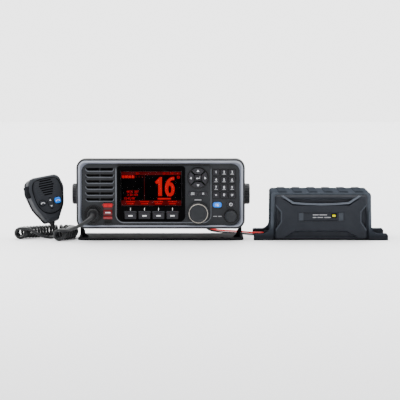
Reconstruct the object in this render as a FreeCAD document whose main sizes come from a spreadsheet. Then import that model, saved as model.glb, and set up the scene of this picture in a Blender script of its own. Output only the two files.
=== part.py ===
import FreeCAD, Part
import math
import os
import re

import Sketcher
from FreeCAD import Placement, Rotation, Vector

# Marine VHF set: a radio head in a tilting bracket, its hand microphone on a curly cord,
# and the power box that feeds it. Millimetres. X runs to the right, Y to the back and
# Z up. The origin is the centre of the bracket's screw holes on the table.

os.makedirs("parts", exist_ok=True)
doc = FreeCAD.newDocument("MarineRadio")
sheet = doc.addObject("Spreadsheet::Sheet", "Sizes")

SIZES = {
    # Radio head: a bezel with a rear case behind it, hung on the tilt axis
    "tiltHeight": 72.5, "bezelWidth": 274, "bezelHeight": 114, "bezelCorner": 15,
    "bezelLow": 19, "bezelBack": 32, "facePlane": 57.5, "bezelWall": 3.5, "faceWall": 5,
    "bezelRound": 2.2, "seatDepth": 5, "seatLedge": 4,
    "rimInset": 2, "rimSide": 6.6, "rimTop": 5.7, "rimFoot": 4.2, "rimRaise": 3, "rimSeat": 1,
    "rimBevel": 1.6, "rimCorner": 13, "fitGap": 0.15,
    "caseWidth": 250, "caseHeight": 96, "caseCorner": 8, "caseWall": 3, "caseBack": 45,
    "flangeThick": 3, "gasketThick": 2, "gasketWide": 3,
    "finDepth": 16, "finThick": 2.4, "finPitch": 10, "finCount": 23, "finTop": 6,
    "socketAcross": 60, "socketHeight": 45, "socketBay": 32,
    # Island that carries the screen and the main keys
    "islandLeft": 71.6, "islandRight": 81, "islandLow": 30, "islandHigh": 122, "islandCorner": 12,
    "islandRaise": 2.5, "lensLeft": 70.5, "lensRight": 40, "lensLow": 31, "lensHigh": 121.4,
    "lensThick": 2, "lensCorner": 9, "screenLeft": 63.9, "screenRight": 33.5, "screenLow": 57.3,
    "screenHigh": 112.1, "screenThick": 6,
    # Keys
    "keyGap": 0.3, "keyTravel": 0.8, "keyProud": 1.5, "keyRound": 0.7, "keyFlange": 1.2,
    "flangeDeep": 1.4, "padLeft": 90.1, "padTop": 111.1, "padAcross": 13, "padDown": 12.4,
    "padKeyWide": 10, "padKeyTall": 8.8, "padKeyCorner": 1.6, "padWellWide": 12.2,
    "padWellTall": 11.2, "wellDeep": 1,
    "softLeft": 48.9, "softHeight": 40.8, "softPitch": 22.75, "softWide": 18.4, "softTall": 10.4,
    "softCorner": 1.4,
    "ringAcross": 60.8, "ringHeight": 102.2, "ringRadius": 15.5, "ringInner": 7.8, "ringWell": 17.5,
    "arrowSpread": 41, "arrowSlant": 3.4, "arrowShy": 0.6,
    "enterWide": 12.5, "enterTall": 11.2, "enterCorner": 2.6,
    "menuAcross": 52.2, "menuPitch": 17, "menuHeight": 76.6, "menuWide": 14, "menuTall": 6.5,
    "menuCorner": 1.4, "channelAcross": 92, "channelHeight": 58.2, "channelWide": 13.8,
    "channelTall": 8.5, "channelCorner": 3.4, "powerAcross": 114.2, "powerHeight": 58.9,
    "powerWide": 12.7, "powerTall": 8.6, "powerCorner": 3.2,
    # Selector dial and volume knob
    "dialAcross": 61.3, "dialHeight": 45.1, "dialSkirt": 17.5, "dialRadius": 15, "dialProud": 14,
    "dialWell": 18.4, "dialBore": 3, "dialLift": 1.2, "gripCount": 36, "gripRadius": 0.9,
    "shaftPlay": 0.05, "shaftDeep": 8, "volumeAcross": 114, "volumeHeight": 39.8,
    "volumeRadius": 9.9, "volumeProud": 12, "volumeFlats": 9, "volumeWell": 11.2,
    # Speaker louvres
    "louvreLeft": 121.9, "louvreRight": 75.4, "louvreTop": 118.1, "louvrePitch": 9.77,
    "louvreTall": 5.8, "louvreDeep": 6.5, "louvreRib": 1.6, "louvreCount": 6,
    "speakerRadius": 27, "speakerDeep": 18, "speakerHeight": 90, "boardPlane": 43, "postRadius": 2.2,
    # Microphone socket and plug
    "socketLeft": 109.2, "socketUp": 42.9, "socketWell": 14.4, "socketRing": 13.6,
    "plugRadius": 9.9, "plugProud": 14.5, "plugNose": 6, "socketBore": 10.2, "socketDeep": 10,
    # Distress key under its sprung cover
    "coverLeft": 92.6, "coverRight": 78.5, "coverHigh": 60.6, "coverLow": 35.1, "coverProud": 6.5,
    "coverWall": 1.6, "pinRadius": 1.6, "pinReach": 3.4, "distressRadius": 4.4,
    "distressHeight": 46, "distressProud": 1.6,
    # Bracket and its clamp knobs
    "footHalf": 135, "footDepth": 110, "footThick": 3, "footCorner": 12, "armThick": 3.5,
    "armOuter": 132.5, "armHalf": 16, "armTop": 18, "armHole": 4.3, "lipWide": 8, "lipHigh": 18,
    "screwAcross": 200, "screwDeep": 70, "screwHole": 5.5, "bossRadius": 15, "bossGap": 0.3,
    "bossBore": 8.1, "studRadius": 4, "studReach": 14, "knobRadius": 17, "knobThick": 13.5,
    "knobNotches": 24, "notchRadius": 1.5,
    # Hand microphone
    "micAcross": 191, "micBack": 6, "micUp": 63, "micYaw": 24, "micRoll": 9, "micLean": 14,
    "micTop": 36.5, "micNeck": 39.5, "micTopHalf": 26, "micHalf": 31.5, "micWaist": 25,
    "micNeckHalf": 9.5, "micShoulder": 15, "micWaistLow": 14, "micFront": 19, "micRear": 14,
    "micRound": 6, "micPanelInset": 6.5, "micPanelLow": 24, "micPanelRaise": 0.8,
    "slotCount": 7, "slotPitch": 3.85, "slotTall": 1.7, "slotTop": 28, "slotDeep": 1.6,
    "hangupLeft": 13.3, "hangupHeight": 7.7, "hangupWide": 10.4, "hangupTall": 8.3,
    "rockerHeight": 10.2, "rockerWide": 8.6, "rockerTall": 17, "micKeyDeep": 3, "micKeyProud": 1,
    "callWide": 10.4, "callTall": 9.8, "talkLong": 19.4, "talkWide": 12, "talkHeight": 15,
    "talkProud": 3.6, "talkDeep": 6, "talkTravel": 1.8, "studNeck": 3.2, "studHead": 6,
    "studLong": 9, "studHeight": 12, "reliefLong": 11, "reliefTop": 5,
    # Cord
    "cordRadius": 2.3, "curlRadius": 7.6, "curlPitch": 5.5, "curlHex": 2.4, "floorGap": 0.1,
    "firstMouthX": -230, "firstMouthY": -35, "firstLead": 4, "firstBend": 28, "firstTurn": 55,
    "longRun": 49, "hairpinBend": 20, "hairpinTurn": 125, "sideRun": 29.7, "swayBend": 30,
    "swayTurn": 46, "lastLead": 2, "cordLead": 4.6,
    # Power box
    "boxLeft": 179.3, "boxRight": 342.7, "boxTop": 77.6, "boxFront": 55, "boxDepth": 130,
    "boxCorner": 5, "boxRibs": 6, "boxRibPitch": 24.9, "boxRibWide": 13.3, "boxRibTall": 1.5,
    "tabReach": 27.4, "tabThick": 10, "tabDeep": 26, "tabSweep": 12, "tabHole": 5.2, "tabInset": 11,
    "coverInset": 6.5, "coverThick": 12, "coverRim": 6, "coverSeat": 5, "scoopDeep": 4,
    "windowLeft": 223.6, "windowRight": 298.2, "windowLow": 31.5, "windowHigh": 45.7,
    "windowDeep": 1.5, "plateLeft": 231.9, "plateRight": 289.9, "lampAcross": 281.9,
    "lampHeight": 40.1, "lampWide": 5, "lampTall": 3.4, "glandDepth": 41, "glandReach": 9,
    "glandWide": 10, "leadRadius": 3, "powerExit": 6,
}
for row, (alias, number) in enumerate(SIZES.items(), start=1):
    sheet.set(f"A{row}", alias)
    sheet.set(f"B{row}", str(number))
    sheet.setAlias(f"B{row}", alias)
doc.recompute()


def bound(expression):
    """Spell an expression of the sheet's aliases the way a property reads it."""
    return re.sub(r"[A-Za-z]\w*", lambda m: "Sizes." + m.group() if m.group() in SIZES else m.group(),
                  str(expression))


def size(expression):
    """Work out an expression of the sheet's aliases."""
    return float(sheet.evalExpression(bound(expression)))


def body(label):
    """Start a solid whose label names its file."""
    made = doc.addObject("PartDesign::Body", "".join(word.title() for word in label.split("_")))
    made.Label = label
    return made


def sketch(owner, plane, offset="0"):
    """Open a sketch on one of the body's own planes, moved along the plane's normal."""
    made = owner.newObject("Sketcher::SketchObject", owner.Name + "Outline")
    base = next(item for item in owner.Origin.OriginFeatures if item.Role == plane + "_Plane")
    made.AttachmentSupport = [(base, "")]
    made.MapMode = "FlatFace"
    made.setExpression("AttachmentOffset.Base.z", bound(offset))
    return made


def hold(target, kind, places, expression):
    """Add one dimension to a sketch and tie it to the sheet."""
    index = target.addConstraint(Sketcher.Constraint(kind, *places, size(expression)))
    target.setExpression(f"Constraints[{index}]", bound(expression))


def pin(target, geometry, point, across, up):
    """Place one point of a sketch by its distances from the origin."""
    hold(target, "DistanceX", (-1, 1, geometry, point), across)
    hold(target, "DistanceY", (-1, 1, geometry, point), up)


def outline(target, corners):
    """Draw a closed outline of straight runs, with an arc at each corner that has a radius."""
    spots = [Vector(size(c[0]), size(c[1]), 0) for c in corners]
    radii = [size(c[2]) if len(c) > 2 else 0 for c in corners]
    count = len(spots)
    arrive, leave, arcs = [], [], []
    for i, spot in enumerate(spots):
        back = (spots[i - 1] - spot).normalize()
        ahead = (spots[(i + 1) % count] - spot).normalize()
        half = back.getAngle(ahead) / 2
        cut = radii[i] / math.tan(half)
        arrive.append(spot + back * cut)
        leave.append(spot + ahead * cut)
        if not radii[i]:
            arcs.append(None)
            continue
        centre = spot + (back + ahead).normalize() * (radii[i] / math.sin(half))
        turns_left = (-back).cross(ahead).z > 0
        first, last = (arrive[i], leave[i]) if turns_left else (leave[i], arrive[i])
        start = math.atan2(first.y - centre.y, first.x - centre.x)
        end = math.atan2(last.y - centre.y, last.x - centre.x)
        if end < start:
            end += 2 * math.pi
        circle = Part.Circle(centre, Vector(0, 0, 1), radii[i])
        arcs.append((Part.ArcOfCircle(circle, start, end), 1 if turns_left else 2))
    runs = [target.addGeometry(Part.LineSegment(leave[i], arrive[(i + 1) % count]), False)
            for i in range(count)]
    for i, corner in enumerate(corners):
        before, after = runs[i - 1], runs[i]
        if arcs[i] is None:
            target.addConstraint(Sketcher.Constraint("Coincident", before, 2, after, 1))
            pin(target, after, 1, corner[0], corner[1])
            continue
        arc, near = arcs[i]
        bend = target.addGeometry(arc, False)
        target.addConstraint(Sketcher.Constraint("Tangent", before, 2, bend, near))
        target.addConstraint(Sketcher.Constraint("Tangent", after, 1, bend, 3 - near))
        point = target.addGeometry(Part.Point(spots[i]), True)
        pin(target, point, 1, corner[0], corner[1])
        target.addConstraint(Sketcher.Constraint("PointOnObject", point, 1, before))
        target.addConstraint(Sketcher.Constraint("PointOnObject", point, 1, after))
        hold(target, "Radius", (bend,), corner[2])
    return target


def rectangle(target, left, low, right, high, radius="0"):
    """Draw an upright rectangle, its four corners alike."""
    corner = () if size(radius) == 0 else (radius,)
    return outline(target, [(x, y) + corner
                            for x, y in ((left, low), (right, low), (right, high), (left, high))])


def centred(target, across, up, wide, tall, radius="0"):
    """Draw a rectangle about its centre."""
    return rectangle(target, f"{across} - ({wide}) / 2", f"{up} - ({tall}) / 2",
                     f"{across} + ({wide}) / 2", f"{up} + ({tall}) / 2", radius)


def circle(target, across, up, radius):
    """Draw a circle."""
    shape = Part.Circle(Vector(size(across), size(up), 0), Vector(0, 0, 1), size(radius))
    index = target.addGeometry(shape, False)
    pin(target, index, 3, across, up)
    hold(target, "Radius", (index,), radius)
    return target


def volume(owner):
    """Measure a body as it stands."""
    return owner.Shape.Volume if owner.Shape and not owner.Shape.isNull() else 0


def feature(owner, kind, profile, length, flipped=False, taper="0"):
    """Raise or sink a sketch by a length, and see that the body gained or lost by it."""
    before = volume(owner)
    made = owner.newObject("PartDesign::" + kind, owner.Name + kind)
    made.Profile = profile
    made.setExpression("Length", bound(length))
    made.Reversed = flipped
    made.Refine = owner.Label != "front_panel"
    if size(taper):
        made.setExpression("TaperAngle", bound(taper))
    doc.recompute()
    change = volume(owner) - before
    if volume(owner) <= 0 or (change if kind == "Pad" else -change) < 0.01:
        raise RuntimeError(f"{made.Label} changes nothing")
    return made


def pad(owner, profile, length, flipped=False, taper="0"):
    return feature(owner, "Pad", profile, length, flipped, taper)


def pocket(owner, profile, length, flipped=False, taper="0"):
    return feature(owner, "Pocket", profile, length, flipped, taper)


def axis(owner, role):
    """Find one of a body's own axes or planes."""
    return next(item for item in owner.Origin.OriginFeatures if item.Role == role)


def row_of(owner, originals, direction, length, count, flipped=False):
    """Repeat features at an even pitch along an axis."""
    made = owner.newObject("PartDesign::LinearPattern", owner.Name + "Row")
    made.Originals = originals
    made.Direction = (axis(owner, direction + "_Axis"), [""])
    made.setExpression("Length", bound(length))
    made.setExpression("Occurrences", bound(count))
    made.Reversed = flipped
    owner.Tip = made
    doc.recompute()
    return made


def ring_of(owner, originals, direction, count):
    """Repeat features evenly round an axis."""
    made = owner.newObject("PartDesign::PolarPattern", owner.Name + "Ring")
    made.Originals = originals
    made.Axis = (axis(owner, direction + "_Axis"), [""])
    made.Angle = 360
    made.setExpression("Occurrences", bound(count))
    owner.Tip = made
    doc.recompute()
    return made


def revolve(owner, profile, direction, cut=False):
    """Turn a sketch a whole turn round one of the body's own axes."""
    made = owner.newObject("PartDesign::" + ("Groove" if cut else "Revolution"), owner.Name + "Turn")
    made.Profile = profile
    made.ReferenceAxis = (axis(owner, direction + "_Axis"), [""])
    made.Angle = 360
    doc.recompute()
    return made


def soften(owner, radius, wanted, kind="Fillet"):
    """Round or bevel the edges of the body that a test picks."""
    doc.recompute()
    names = [f"Edge{i}" for i, edge in enumerate(owner.Shape.Edges, start=1) if wanted(edge)]
    if not names:
        raise RuntimeError(f"no edge to soften on {owner.Label}")
    base = owner.Tip
    made = owner.newObject("PartDesign::" + kind, owner.Name + kind)
    made.Base = (base, names)
    made.setExpression("Radius" if kind == "Fillet" else "Size", bound(radius))
    doc.recompute()
    if volume(owner) <= 0:
        raise RuntimeError(f"{made.Label} fails")
    return made


def lies_at(edge, **planes):
    """Tell whether an edge lies whole in the planes given, such as y=-3."""
    box = edge.BoundBox
    spans = {"x": (box.XMin, box.XMax), "y": (box.YMin, box.YMax), "z": (box.ZMin, box.ZMax)}
    return all(abs(end - place) < 0.01 for key, place in planes.items() for end in spans[key])


def place(owner, across="0", back="0", up="0"):
    """Stand a body at its place in the set."""
    for name, expression in (("x", across), ("y", back), ("z", up)):
        owner.setExpression("Placement.Base." + name, bound(expression))


# Heights of the head run from its tilt axis, so that its pieces share one placement
BOARD_POSTS = (("-60", "50.3"), ("40", "50.3"), ("80.5", "94"), ("81.5", "34"))
FACE = "facePlane"
ISLAND = "facePlane + islandRaise"


def front_panel():
    """Moulded bezel: skirt, face wall, island, and every opening in the face."""
    panel = body("front_panel")
    centre = "bezelLow + bezelHeight / 2"
    shell = centred(sketch(panel, "XZ", "bezelBack"), "0", centre, "bezelWidth", "bezelHeight",
                    "bezelCorner")
    pad(panel, shell, "facePlane - bezelBack")
    hollow = "bezelWidth - 2 * bezelWall"
    high = "bezelHeight - 2 * bezelWall"
    seat = centred(sketch(panel, "XZ", "bezelBack"), "0", centre, hollow, high,
                   "bezelCorner - bezelWall")
    pocket(panel, seat, "seatDepth", flipped=True)
    inner = centred(sketch(panel, "XZ", "bezelBack + seatDepth"), "0", centre,
                    hollow + " - 2 * seatLedge", high + " - 2 * seatLedge",
                    "bezelCorner - bezelWall - seatLedge")
    pocket(panel, inner, "facePlane - bezelBack - seatDepth - faceWall", flipped=True)
    island = outline(sketch(panel, "XZ", FACE), [
        ("-islandLeft", "islandLow", "islandCorner"), ("islandRight", "islandLow", "islandCorner"),
        ("islandRight", "islandHigh", "4"), ("-islandLeft", "islandHigh", "4")])
    pad(panel, island, "islandRaise")
    front = -size(FACE)
    soften(panel, "bezelRound", lambda e: lies_at(e, y=front) and (
        abs(e.BoundBox.XMin) > size("bezelWidth / 2 - bezelCorner - 1")
        or e.BoundBox.XLength > size("bezelWidth - 2 * bezelCorner - 1")))
    raised = -size(ISLAND)
    soften(panel, "0.8", lambda e: lies_at(e, y=raised))
    # Posts that carry the circuit board
    posts = sketch(panel, "XZ", "facePlane - faceWall")
    for across, up in BOARD_POSTS:
        circle(posts, across, up, "postRadius")
    pad(panel, posts, "facePlane - faceWall - boardPlane", flipped=True)
    # Groove for the rim trim
    groove = sketch(panel, "XZ", FACE)
    rim_outline(groove, "fitGap")
    pocket(panel, groove, "rimSeat")
    # Seat for the lens and the window behind it
    lens = lens_outline(sketch(panel, "XZ", ISLAND), "fitGap")
    pocket(panel, lens, "lensThick")
    window = rectangle(sketch(panel, "XZ", ISLAND), "-screenLeft", "screenLow", "screenRight",
                       "screenHigh", "1")
    pocket(panel, window, "faceWall + islandRaise")
    face_openings(panel)
    louvres(panel)
    socket_and_cover_openings(panel)
    return panel


def rim_outline(target, gap):
    """Two closed outlines of the rim: its outside and the opening that frames the face."""
    low, high = "bezelLow + rimInset", "bezelLow + bezelHeight - rimInset"
    half = "bezelWidth / 2 - rimInset"
    rectangle(target, f"-({half}) - {gap}", f"{low} - {gap}", f"{half} + {gap}", f"{high} + {gap}",
              "rimCorner")
    rectangle(target, f"-({half}) + rimSide + {gap}", f"{low} + rimFoot + {gap}",
              f"{half} - rimSide - {gap}", f"{high} - rimTop - {gap}", "rimCorner")


def lens_outline(target, gap):
    """Outline of the screen's glossy lens."""
    return outline(target, [
        (f"-lensLeft - {gap}", f"lensLow - {gap}", "lensCorner"),
        (f"lensRight + {gap}", f"lensLow - {gap}", "lensCorner"),
        (f"lensRight + {gap}", f"lensHigh + {gap}", "lensCorner / 2"),
        (f"-lensLeft - {gap}", f"lensHigh + {gap}", "lensCorner / 2")])


def face_openings(panel):
    """Wells and through holes for the keys, the dial and the knob."""
    through = "faceWall + islandRaise"
    well = centred(sketch(panel, "XZ", FACE), "padLeft", "padTop", "padWellWide", "padWellTall",
                   "padKeyCorner")
    cut_well = pocket(panel, well, "wellDeep")
    hole = centred(sketch(panel, "XZ", FACE), "padLeft", "padTop", "padKeyWide + 2 * keyGap",
                   "padKeyTall + 2 * keyGap", "padKeyCorner")
    cut_hole = pocket(panel, hole, "faceWall")
    grid = panel.newObject("PartDesign::LinearPattern", "KeypadGrid")
    grid.Originals = [cut_well, cut_hole]
    grid.Direction = (axis(panel, "X_Axis"), [""])
    grid.Direction2 = (axis(panel, "Z_Axis"), [""])
    grid.Reversed2 = True
    grid.setExpression("Length", bound("2 * padAcross"))
    grid.setExpression("Length2", bound("3 * padDown"))
    grid.Occurrences = 3
    grid.Occurrences2 = 4
    panel.Tip = grid
    doc.recompute()
    soft = centred(sketch(panel, "XZ", ISLAND), "-softLeft", "softHeight", "softWide + 2 * keyGap",
                   "softTall + 2 * keyGap", "softCorner")
    row_of(panel, [pocket(panel, soft, through)], "X", "3 * softPitch", 4)
    menu = centred(sketch(panel, "XZ", ISLAND), "menuAcross", "menuHeight", "menuWide + 2 * keyGap",
                   "menuTall + 2 * keyGap", "menuCorner")
    row_of(panel, [pocket(panel, menu, through)], "X", "menuPitch", 2)
    ring = circle(sketch(panel, "XZ", ISLAND), "ringAcross", "ringHeight", "ringWell")
    pocket(panel, ring, "wellDeep")
    cross = circle(sketch(panel, "XZ", ISLAND), "ringAcross", "ringHeight", "ringRadius + keyGap")
    pocket(panel, cross, through)
    for across, up, wide, tall, corner in (
            ("channelAcross", "channelHeight", "channelWide", "channelTall", "channelCorner"),
            ("powerAcross", "powerHeight", "powerWide", "powerTall", "powerCorner")):
        lone = centred(sketch(panel, "XZ", FACE), across, up, wide + " + 2 * keyGap",
                       tall + " + 2 * keyGap", corner)
        pocket(panel, lone, "faceWall")
    for across, up, wide, plane in (("dialAcross", "dialHeight", "dialWell", ISLAND),
                                    ("volumeAcross", "volumeHeight", "volumeWell", FACE)):
        pocket(panel, circle(sketch(panel, "XZ", plane), across, up, wide), "wellDeep")
        bore = circle(sketch(panel, "XZ", plane), across, up, "dialBore + shaftPlay")
        pocket(panel, bore, through)


def louvres(panel):
    """Speaker louvres: wedge scoops, deepest at the top, open to the inside there."""
    middle = "(louvreLeft + louvreRight) / 2"
    half = "(louvreLeft - louvreRight) / 2 - louvreRib / 2"
    scoops = []
    for start in (f"-{middle} + louvreRib / 2", f"-{middle} - louvreRib / 2 - ({half})"):
        wedge = outline(sketch(panel, "YZ", start), [
            ("-facePlane - 1", "louvreTop - louvreTall - 0.9"), ("-facePlane - 1", "louvreTop"),
            ("-facePlane + louvreDeep", "louvreTop")])
        scoops.append(pocket(panel, wedge, half, flipped=True))
    row_of(panel, scoops, "Z", "(louvreCount - 1) * louvrePitch", "louvreCount", flipped=True)


def socket_and_cover_openings(panel):
    """Well for the microphone socket, and the place of the distress key and its cover."""
    well = circle(sketch(panel, "XZ", FACE), "-socketLeft", "socketUp", "socketWell")
    pocket(panel, well, "3")
    hole = circle(sketch(panel, "XZ", FACE), "-socketLeft", "socketUp", "socketBore + 1.2")
    pocket(panel, hole, "faceWall")
    middle = "-(coverLeft + coverRight) / 2"
    button = circle(sketch(panel, "XZ", FACE), middle, "distressHeight", "distressRadius + keyGap")
    pocket(panel, button, "faceWall")
    finger = rectangle(sketch(panel, "XZ", FACE), "-coverLeft + 1", "coverLow - 6.5",
                       "-coverRight - 1", "coverLow + 2", "1")
    pocket(panel, finger, "3.4")
    # Lugs that hold the ends of the cover's pin
    lugs = []
    for side in ("-coverLeft - 0.3 - 2.6", "-coverRight + 0.3"):
        lug = outline(sketch(panel, "YZ", side), [
            ("-facePlane + 1", "coverHigh - 6"), ("-facePlane + 1", "coverHigh + 2"),
            ("-facePlane - pinReach - pinRadius", "coverHigh + 2", "2"),
            ("-facePlane - pinReach - pinRadius", "coverHigh - 6", "2")])
        lugs.append(pad(panel, lug, "2.6"))
    bore = circle(sketch(panel, "YZ", "-coverLeft - 4"), "-facePlane - pinReach",
                  "coverHigh - pinRadius - 0.6", "pinRadius + shaftPlay")
    pocket(panel, bore, "coverLeft - coverRight + 8", flipped=True)


def rim_trim():
    """Light frame round the face, bevelled outside and in."""
    rim = body("rim_trim")
    band = sketch(rim, "XZ", "facePlane - rimSeat")
    rim_outline(band, "0")
    pad(rim, band, "rimSeat + rimRaise")
    front = -size("facePlane + rimRaise")
    soften(rim, "rimBevel", lambda e: lies_at(e, y=front), "Chamfer")
    return rim


def display_lens():
    """Glossy screen window that runs down round the four soft keys."""
    lens = body("display_lens")
    pad(lens, lens_outline(sketch(lens, "XZ", ISLAND + " - lensThick"), "0"), "lensThick")
    soft = centred(sketch(lens, "XZ", ISLAND), "-softLeft", "softHeight", "softWide + 2 * keyGap",
                   "softTall + 2 * keyGap", "softCorner")
    row_of(lens, [pocket(lens, soft, "lensThick + 1")], "X", "3 * softPitch", 4)
    return lens


def display_screen():
    """Liquid crystal module behind the window: glass in front, its frame behind."""
    screen = body("display_screen")
    module = rectangle(sketch(screen, "XZ", "facePlane - faceWall"), "-screenLeft - 2",
                       "screenLow - 4", "screenRight + 2", "screenHigh + 3", "1")
    pad(screen, module, "screenThick", flipped=True)
    glass = rectangle(sketch(screen, "XZ", "facePlane - faceWall"), "-screenLeft + fitGap",
                      "screenLow + fitGap", "screenRight - fitGap", "screenHigh - fitGap", "1")
    pad(screen, glass, "faceWall + islandRaise - lensThick - 0.2")
    return screen


def speaker_driver():
    """Loudspeaker: basket flange, cone frustum and magnet."""
    driver = body("speaker_driver")
    face = sketch(driver, "XY")
    outline(face, [("0", "0"), ("speakerRadius", "0"), ("speakerRadius", "-2"),
                   ("speakerRadius - 4", "-2"), ("speakerRadius / 2", "-speakerDeep + 6"),
                   ("speakerRadius / 2", "-speakerDeep"), ("0", "-speakerDeep")])
    revolve(driver, face, "Y")
    driver.Placement = Placement(Vector(-size("(louvreLeft + louvreRight) / 2"),
                                        -size("facePlane - faceWall"), size("speakerHeight")),
                                 Rotation(Vector(0, 0, 1), 180))
    return driver


def main_board():
    """Circuit board on its posts, with the screened blocks that it carries."""
    board = body("main_board")
    plane = "boardPlane"
    sheet_part = rectangle(sketch(board, "XZ", plane), "-screenLeft", "bezelLow + 12",
                           "bezelWidth / 2 - 14", "bezelLow + bezelHeight - 12", "3")
    pad(board, sheet_part, "1.6", flipped=True)
    for left, low, right, high, tall in (("-40", "34", "10", "70", "14"), ("-30", "84", "25", "112", "9"),
                                         ("50", "40", "95", "108", "18")):
        block = rectangle(sketch(board, "XZ", plane + " - 1.6"), left, low, right, high, "1.5")
        pad(board, block, tall, flipped=True)
    return board


def rear_case():
    """Cast rear case: flange that seats in the bezel, box, cooling fins and tilt bosses."""
    case = body("rear_case")
    centre = "bezelLow + bezelHeight / 2"
    flange = centred(sketch(case, "XZ", "bezelBack"), "0", centre,
                     "bezelWidth - 2 * bezelWall - 2 * fitGap",
                     "bezelHeight - 2 * bezelWall - 2 * fitGap", "bezelCorner - bezelWall")
    pad(case, flange, "flangeThick")
    box = centred(sketch(case, "XZ", "bezelBack"), "0", "tiltHeight", "caseWidth", "caseHeight",
                  "caseCorner")
    pad(case, box, "bezelBack + caseBack", flipped=True)
    fins = [rectangle(sketch(case, "XZ", "-caseBack"), "-(finCount - 1) / 2 * finPitch - finThick / 2",
                      "tiltHeight - caseHeight / 2 + finTop",
                      "-(finCount - 1) / 2 * finPitch + finThick / 2",
                      "tiltHeight + caseHeight / 2 - finTop")]
    fin = pad(case, fins[0], "finDepth", flipped=True)
    row_of(case, [fin], "X", "(finCount - 1) * finPitch", "finCount")
    for side in ("-", ""):
        bay = centred(sketch(case, "XZ", "-caseBack"), side + "socketAcross", "socketHeight",
                      "socketBay", "socketBay + 8")
        pocket(case, bay, "finDepth + 1")
    hollow = centred(sketch(case, "XZ", "bezelBack + flangeThick"), "0", "tiltHeight",
                     "caseWidth - 2 * caseWall", "caseHeight - 2 * caseWall", "caseCorner - caseWall")
    pocket(case, hollow, "bezelBack + flangeThick + caseBack - caseWall")
    for side, flipped in (("-", True), ("", False)):
        boss = circle(sketch(case, "YZ", side + "(caseWidth / 2 - 12)"), "0", "tiltHeight", "bossRadius")
        pad(case, boss, "armOuter - armThick - bossGap - caseWidth / 2 + 12", flipped=flipped)
        bore = circle(sketch(case, "YZ", side + "(armOuter)"), "0", "tiltHeight", "bossBore / 2")
        pocket(case, bore, "studReach + armThick + 1", flipped=flipped)
    for side, radius in (("-", "8"), ("", "6")):
        hole = circle(sketch(case, "XZ", "-caseBack + caseWall"), side + "socketAcross",
                      "socketHeight", radius)
        pocket(case, hole, "caseWall + 1")
    return case


def case_gasket():
    """Flat seal squeezed between the bezel's ledge and the case flange."""
    seal = body("case_gasket")
    centre = "bezelLow + bezelHeight / 2"
    wide, tall = "bezelWidth - 2 * bezelWall - 2 * fitGap", "bezelHeight - 2 * bezelWall - 2 * fitGap"
    band = sketch(seal, "XZ", "bezelBack + flangeThick")
    centred(band, "0", centre, wide, tall, "bezelCorner - bezelWall")
    centred(band, "0", centre, wide + " - 2 * gasketWide", tall + " - 2 * gasketWide",
            "bezelCorner - bezelWall - gasketWide")
    pad(seal, band, "gasketThick")
    return seal


def turned(label, points, across, up, back="0"):
    """A round piece about an axis that points at the user; points give radius and height."""
    made = body(label)
    revolve(made, outline(sketch(made, "XY"), points), "Y")
    place(made, across, back, up)
    return made


def mic_socket():
    """Round socket: collar in the well of the face, barrel through it, bore for the plug."""
    floor = "-facePlane + 3"
    return turned("mic_socket", [
        ("socketBore", floor + " - 2.2"), ("socketRing", floor + " - 2.2"), ("socketRing", floor),
        ("socketBore + 1", floor), ("socketBore + 1", "-facePlane + socketDeep + 4"),
        ("0", "-facePlane + socketDeep + 4"), ("0", "-facePlane + socketDeep"),
        ("socketBore", "-facePlane + socketDeep")], "-socketLeft", "socketUp")


def mic_plug():
    """Plug in the socket: barrel, grip ring with notches and tapered nose."""
    face = "-facePlane - plugProud"
    plug = turned("mic_plug", [
        ("0", face + " - plugNose"), ("cordRadius + 1.4", face + " - plugNose"),
        ("cordRadius + 3", face), ("plugRadius - 1.5", face), ("plugRadius", face + " + 1.5"),
        ("plugRadius", "-facePlane + socketDeep - 0.3"), ("0", "-facePlane + socketDeep - 0.3")],
        "-socketLeft", "socketUp")
    notch = circle(sketch(plug, "XZ", "facePlane + plugProud + 1"), "plugRadius + 0.5", "0", "1.4")
    ring_of(plug, [pocket(plug, notch, "plugProud - 4")], "Y", 8)
    return plug


def antenna_socket():
    """Threaded antenna socket on the rear wall: hexagon, barrel and centre contact."""
    socket = body("antenna_socket")
    revolve(socket, outline(sketch(socket, "XY"), [
        ("0", "-4"), ("7.8", "-4"), ("7.8", "caseWall"), ("11", "caseWall"), ("11", "caseWall + 3"),
        ("7.9", "caseWall + 3"), ("7.9", "caseWall + 15"), ("5.2", "caseWall + 15"),
        ("5.2", "caseWall + 6"), ("1.6", "caseWall + 6"), ("1.6", "caseWall + 13"),
        ("0", "caseWall + 13")]), "Y")
    place(socket, "-socketAcross", "caseBack - caseWall", "socketHeight")
    return socket


def power_gland():
    """Rubber gland where the power lead leaves the rear wall."""
    gland = body("power_gland")
    revolve(gland, outline(sketch(gland, "XY"), [
        ("0", "-3"), ("8", "-3"), ("8", "0"), ("5.8", "0"), ("5.8", "caseWall"), ("8", "caseWall"),
        ("8", "caseWall + 3"), ("leadRadius + 1", "caseWall + 14"), ("0", "caseWall + 14")]), "Y")
    place(gland, "socketAcross", "caseBack - caseWall", "socketHeight")
    return gland


def key(label, across, up, wide, tall, corner, plane):
    """A key cap in its opening, with the flange that keeps it behind the face."""
    cap = body(label)
    wall = "faceWall" if plane == FACE else "faceWall + islandRaise"
    face = centred(sketch(cap, "XZ"), "0", "0", wide, tall, corner)
    rear = f"{wall} + keyGap"
    pad(cap, face, f"{rear} + keyProud")
    front = -size(f"{rear} + keyProud")
    soften(cap, "keyRound", lambda e: lies_at(e, y=front))
    stop = centred(sketch(cap, "XZ"), "0", "0", f"{wide} + 2 * keyFlange - 0.4",
                   f"{tall} + 2 * keyFlange - 0.4", corner)
    pad(cap, stop, "flangeDeep", flipped=True)
    place(cap, across, f"-({plane}) + {rear}", up)
    return cap


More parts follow.
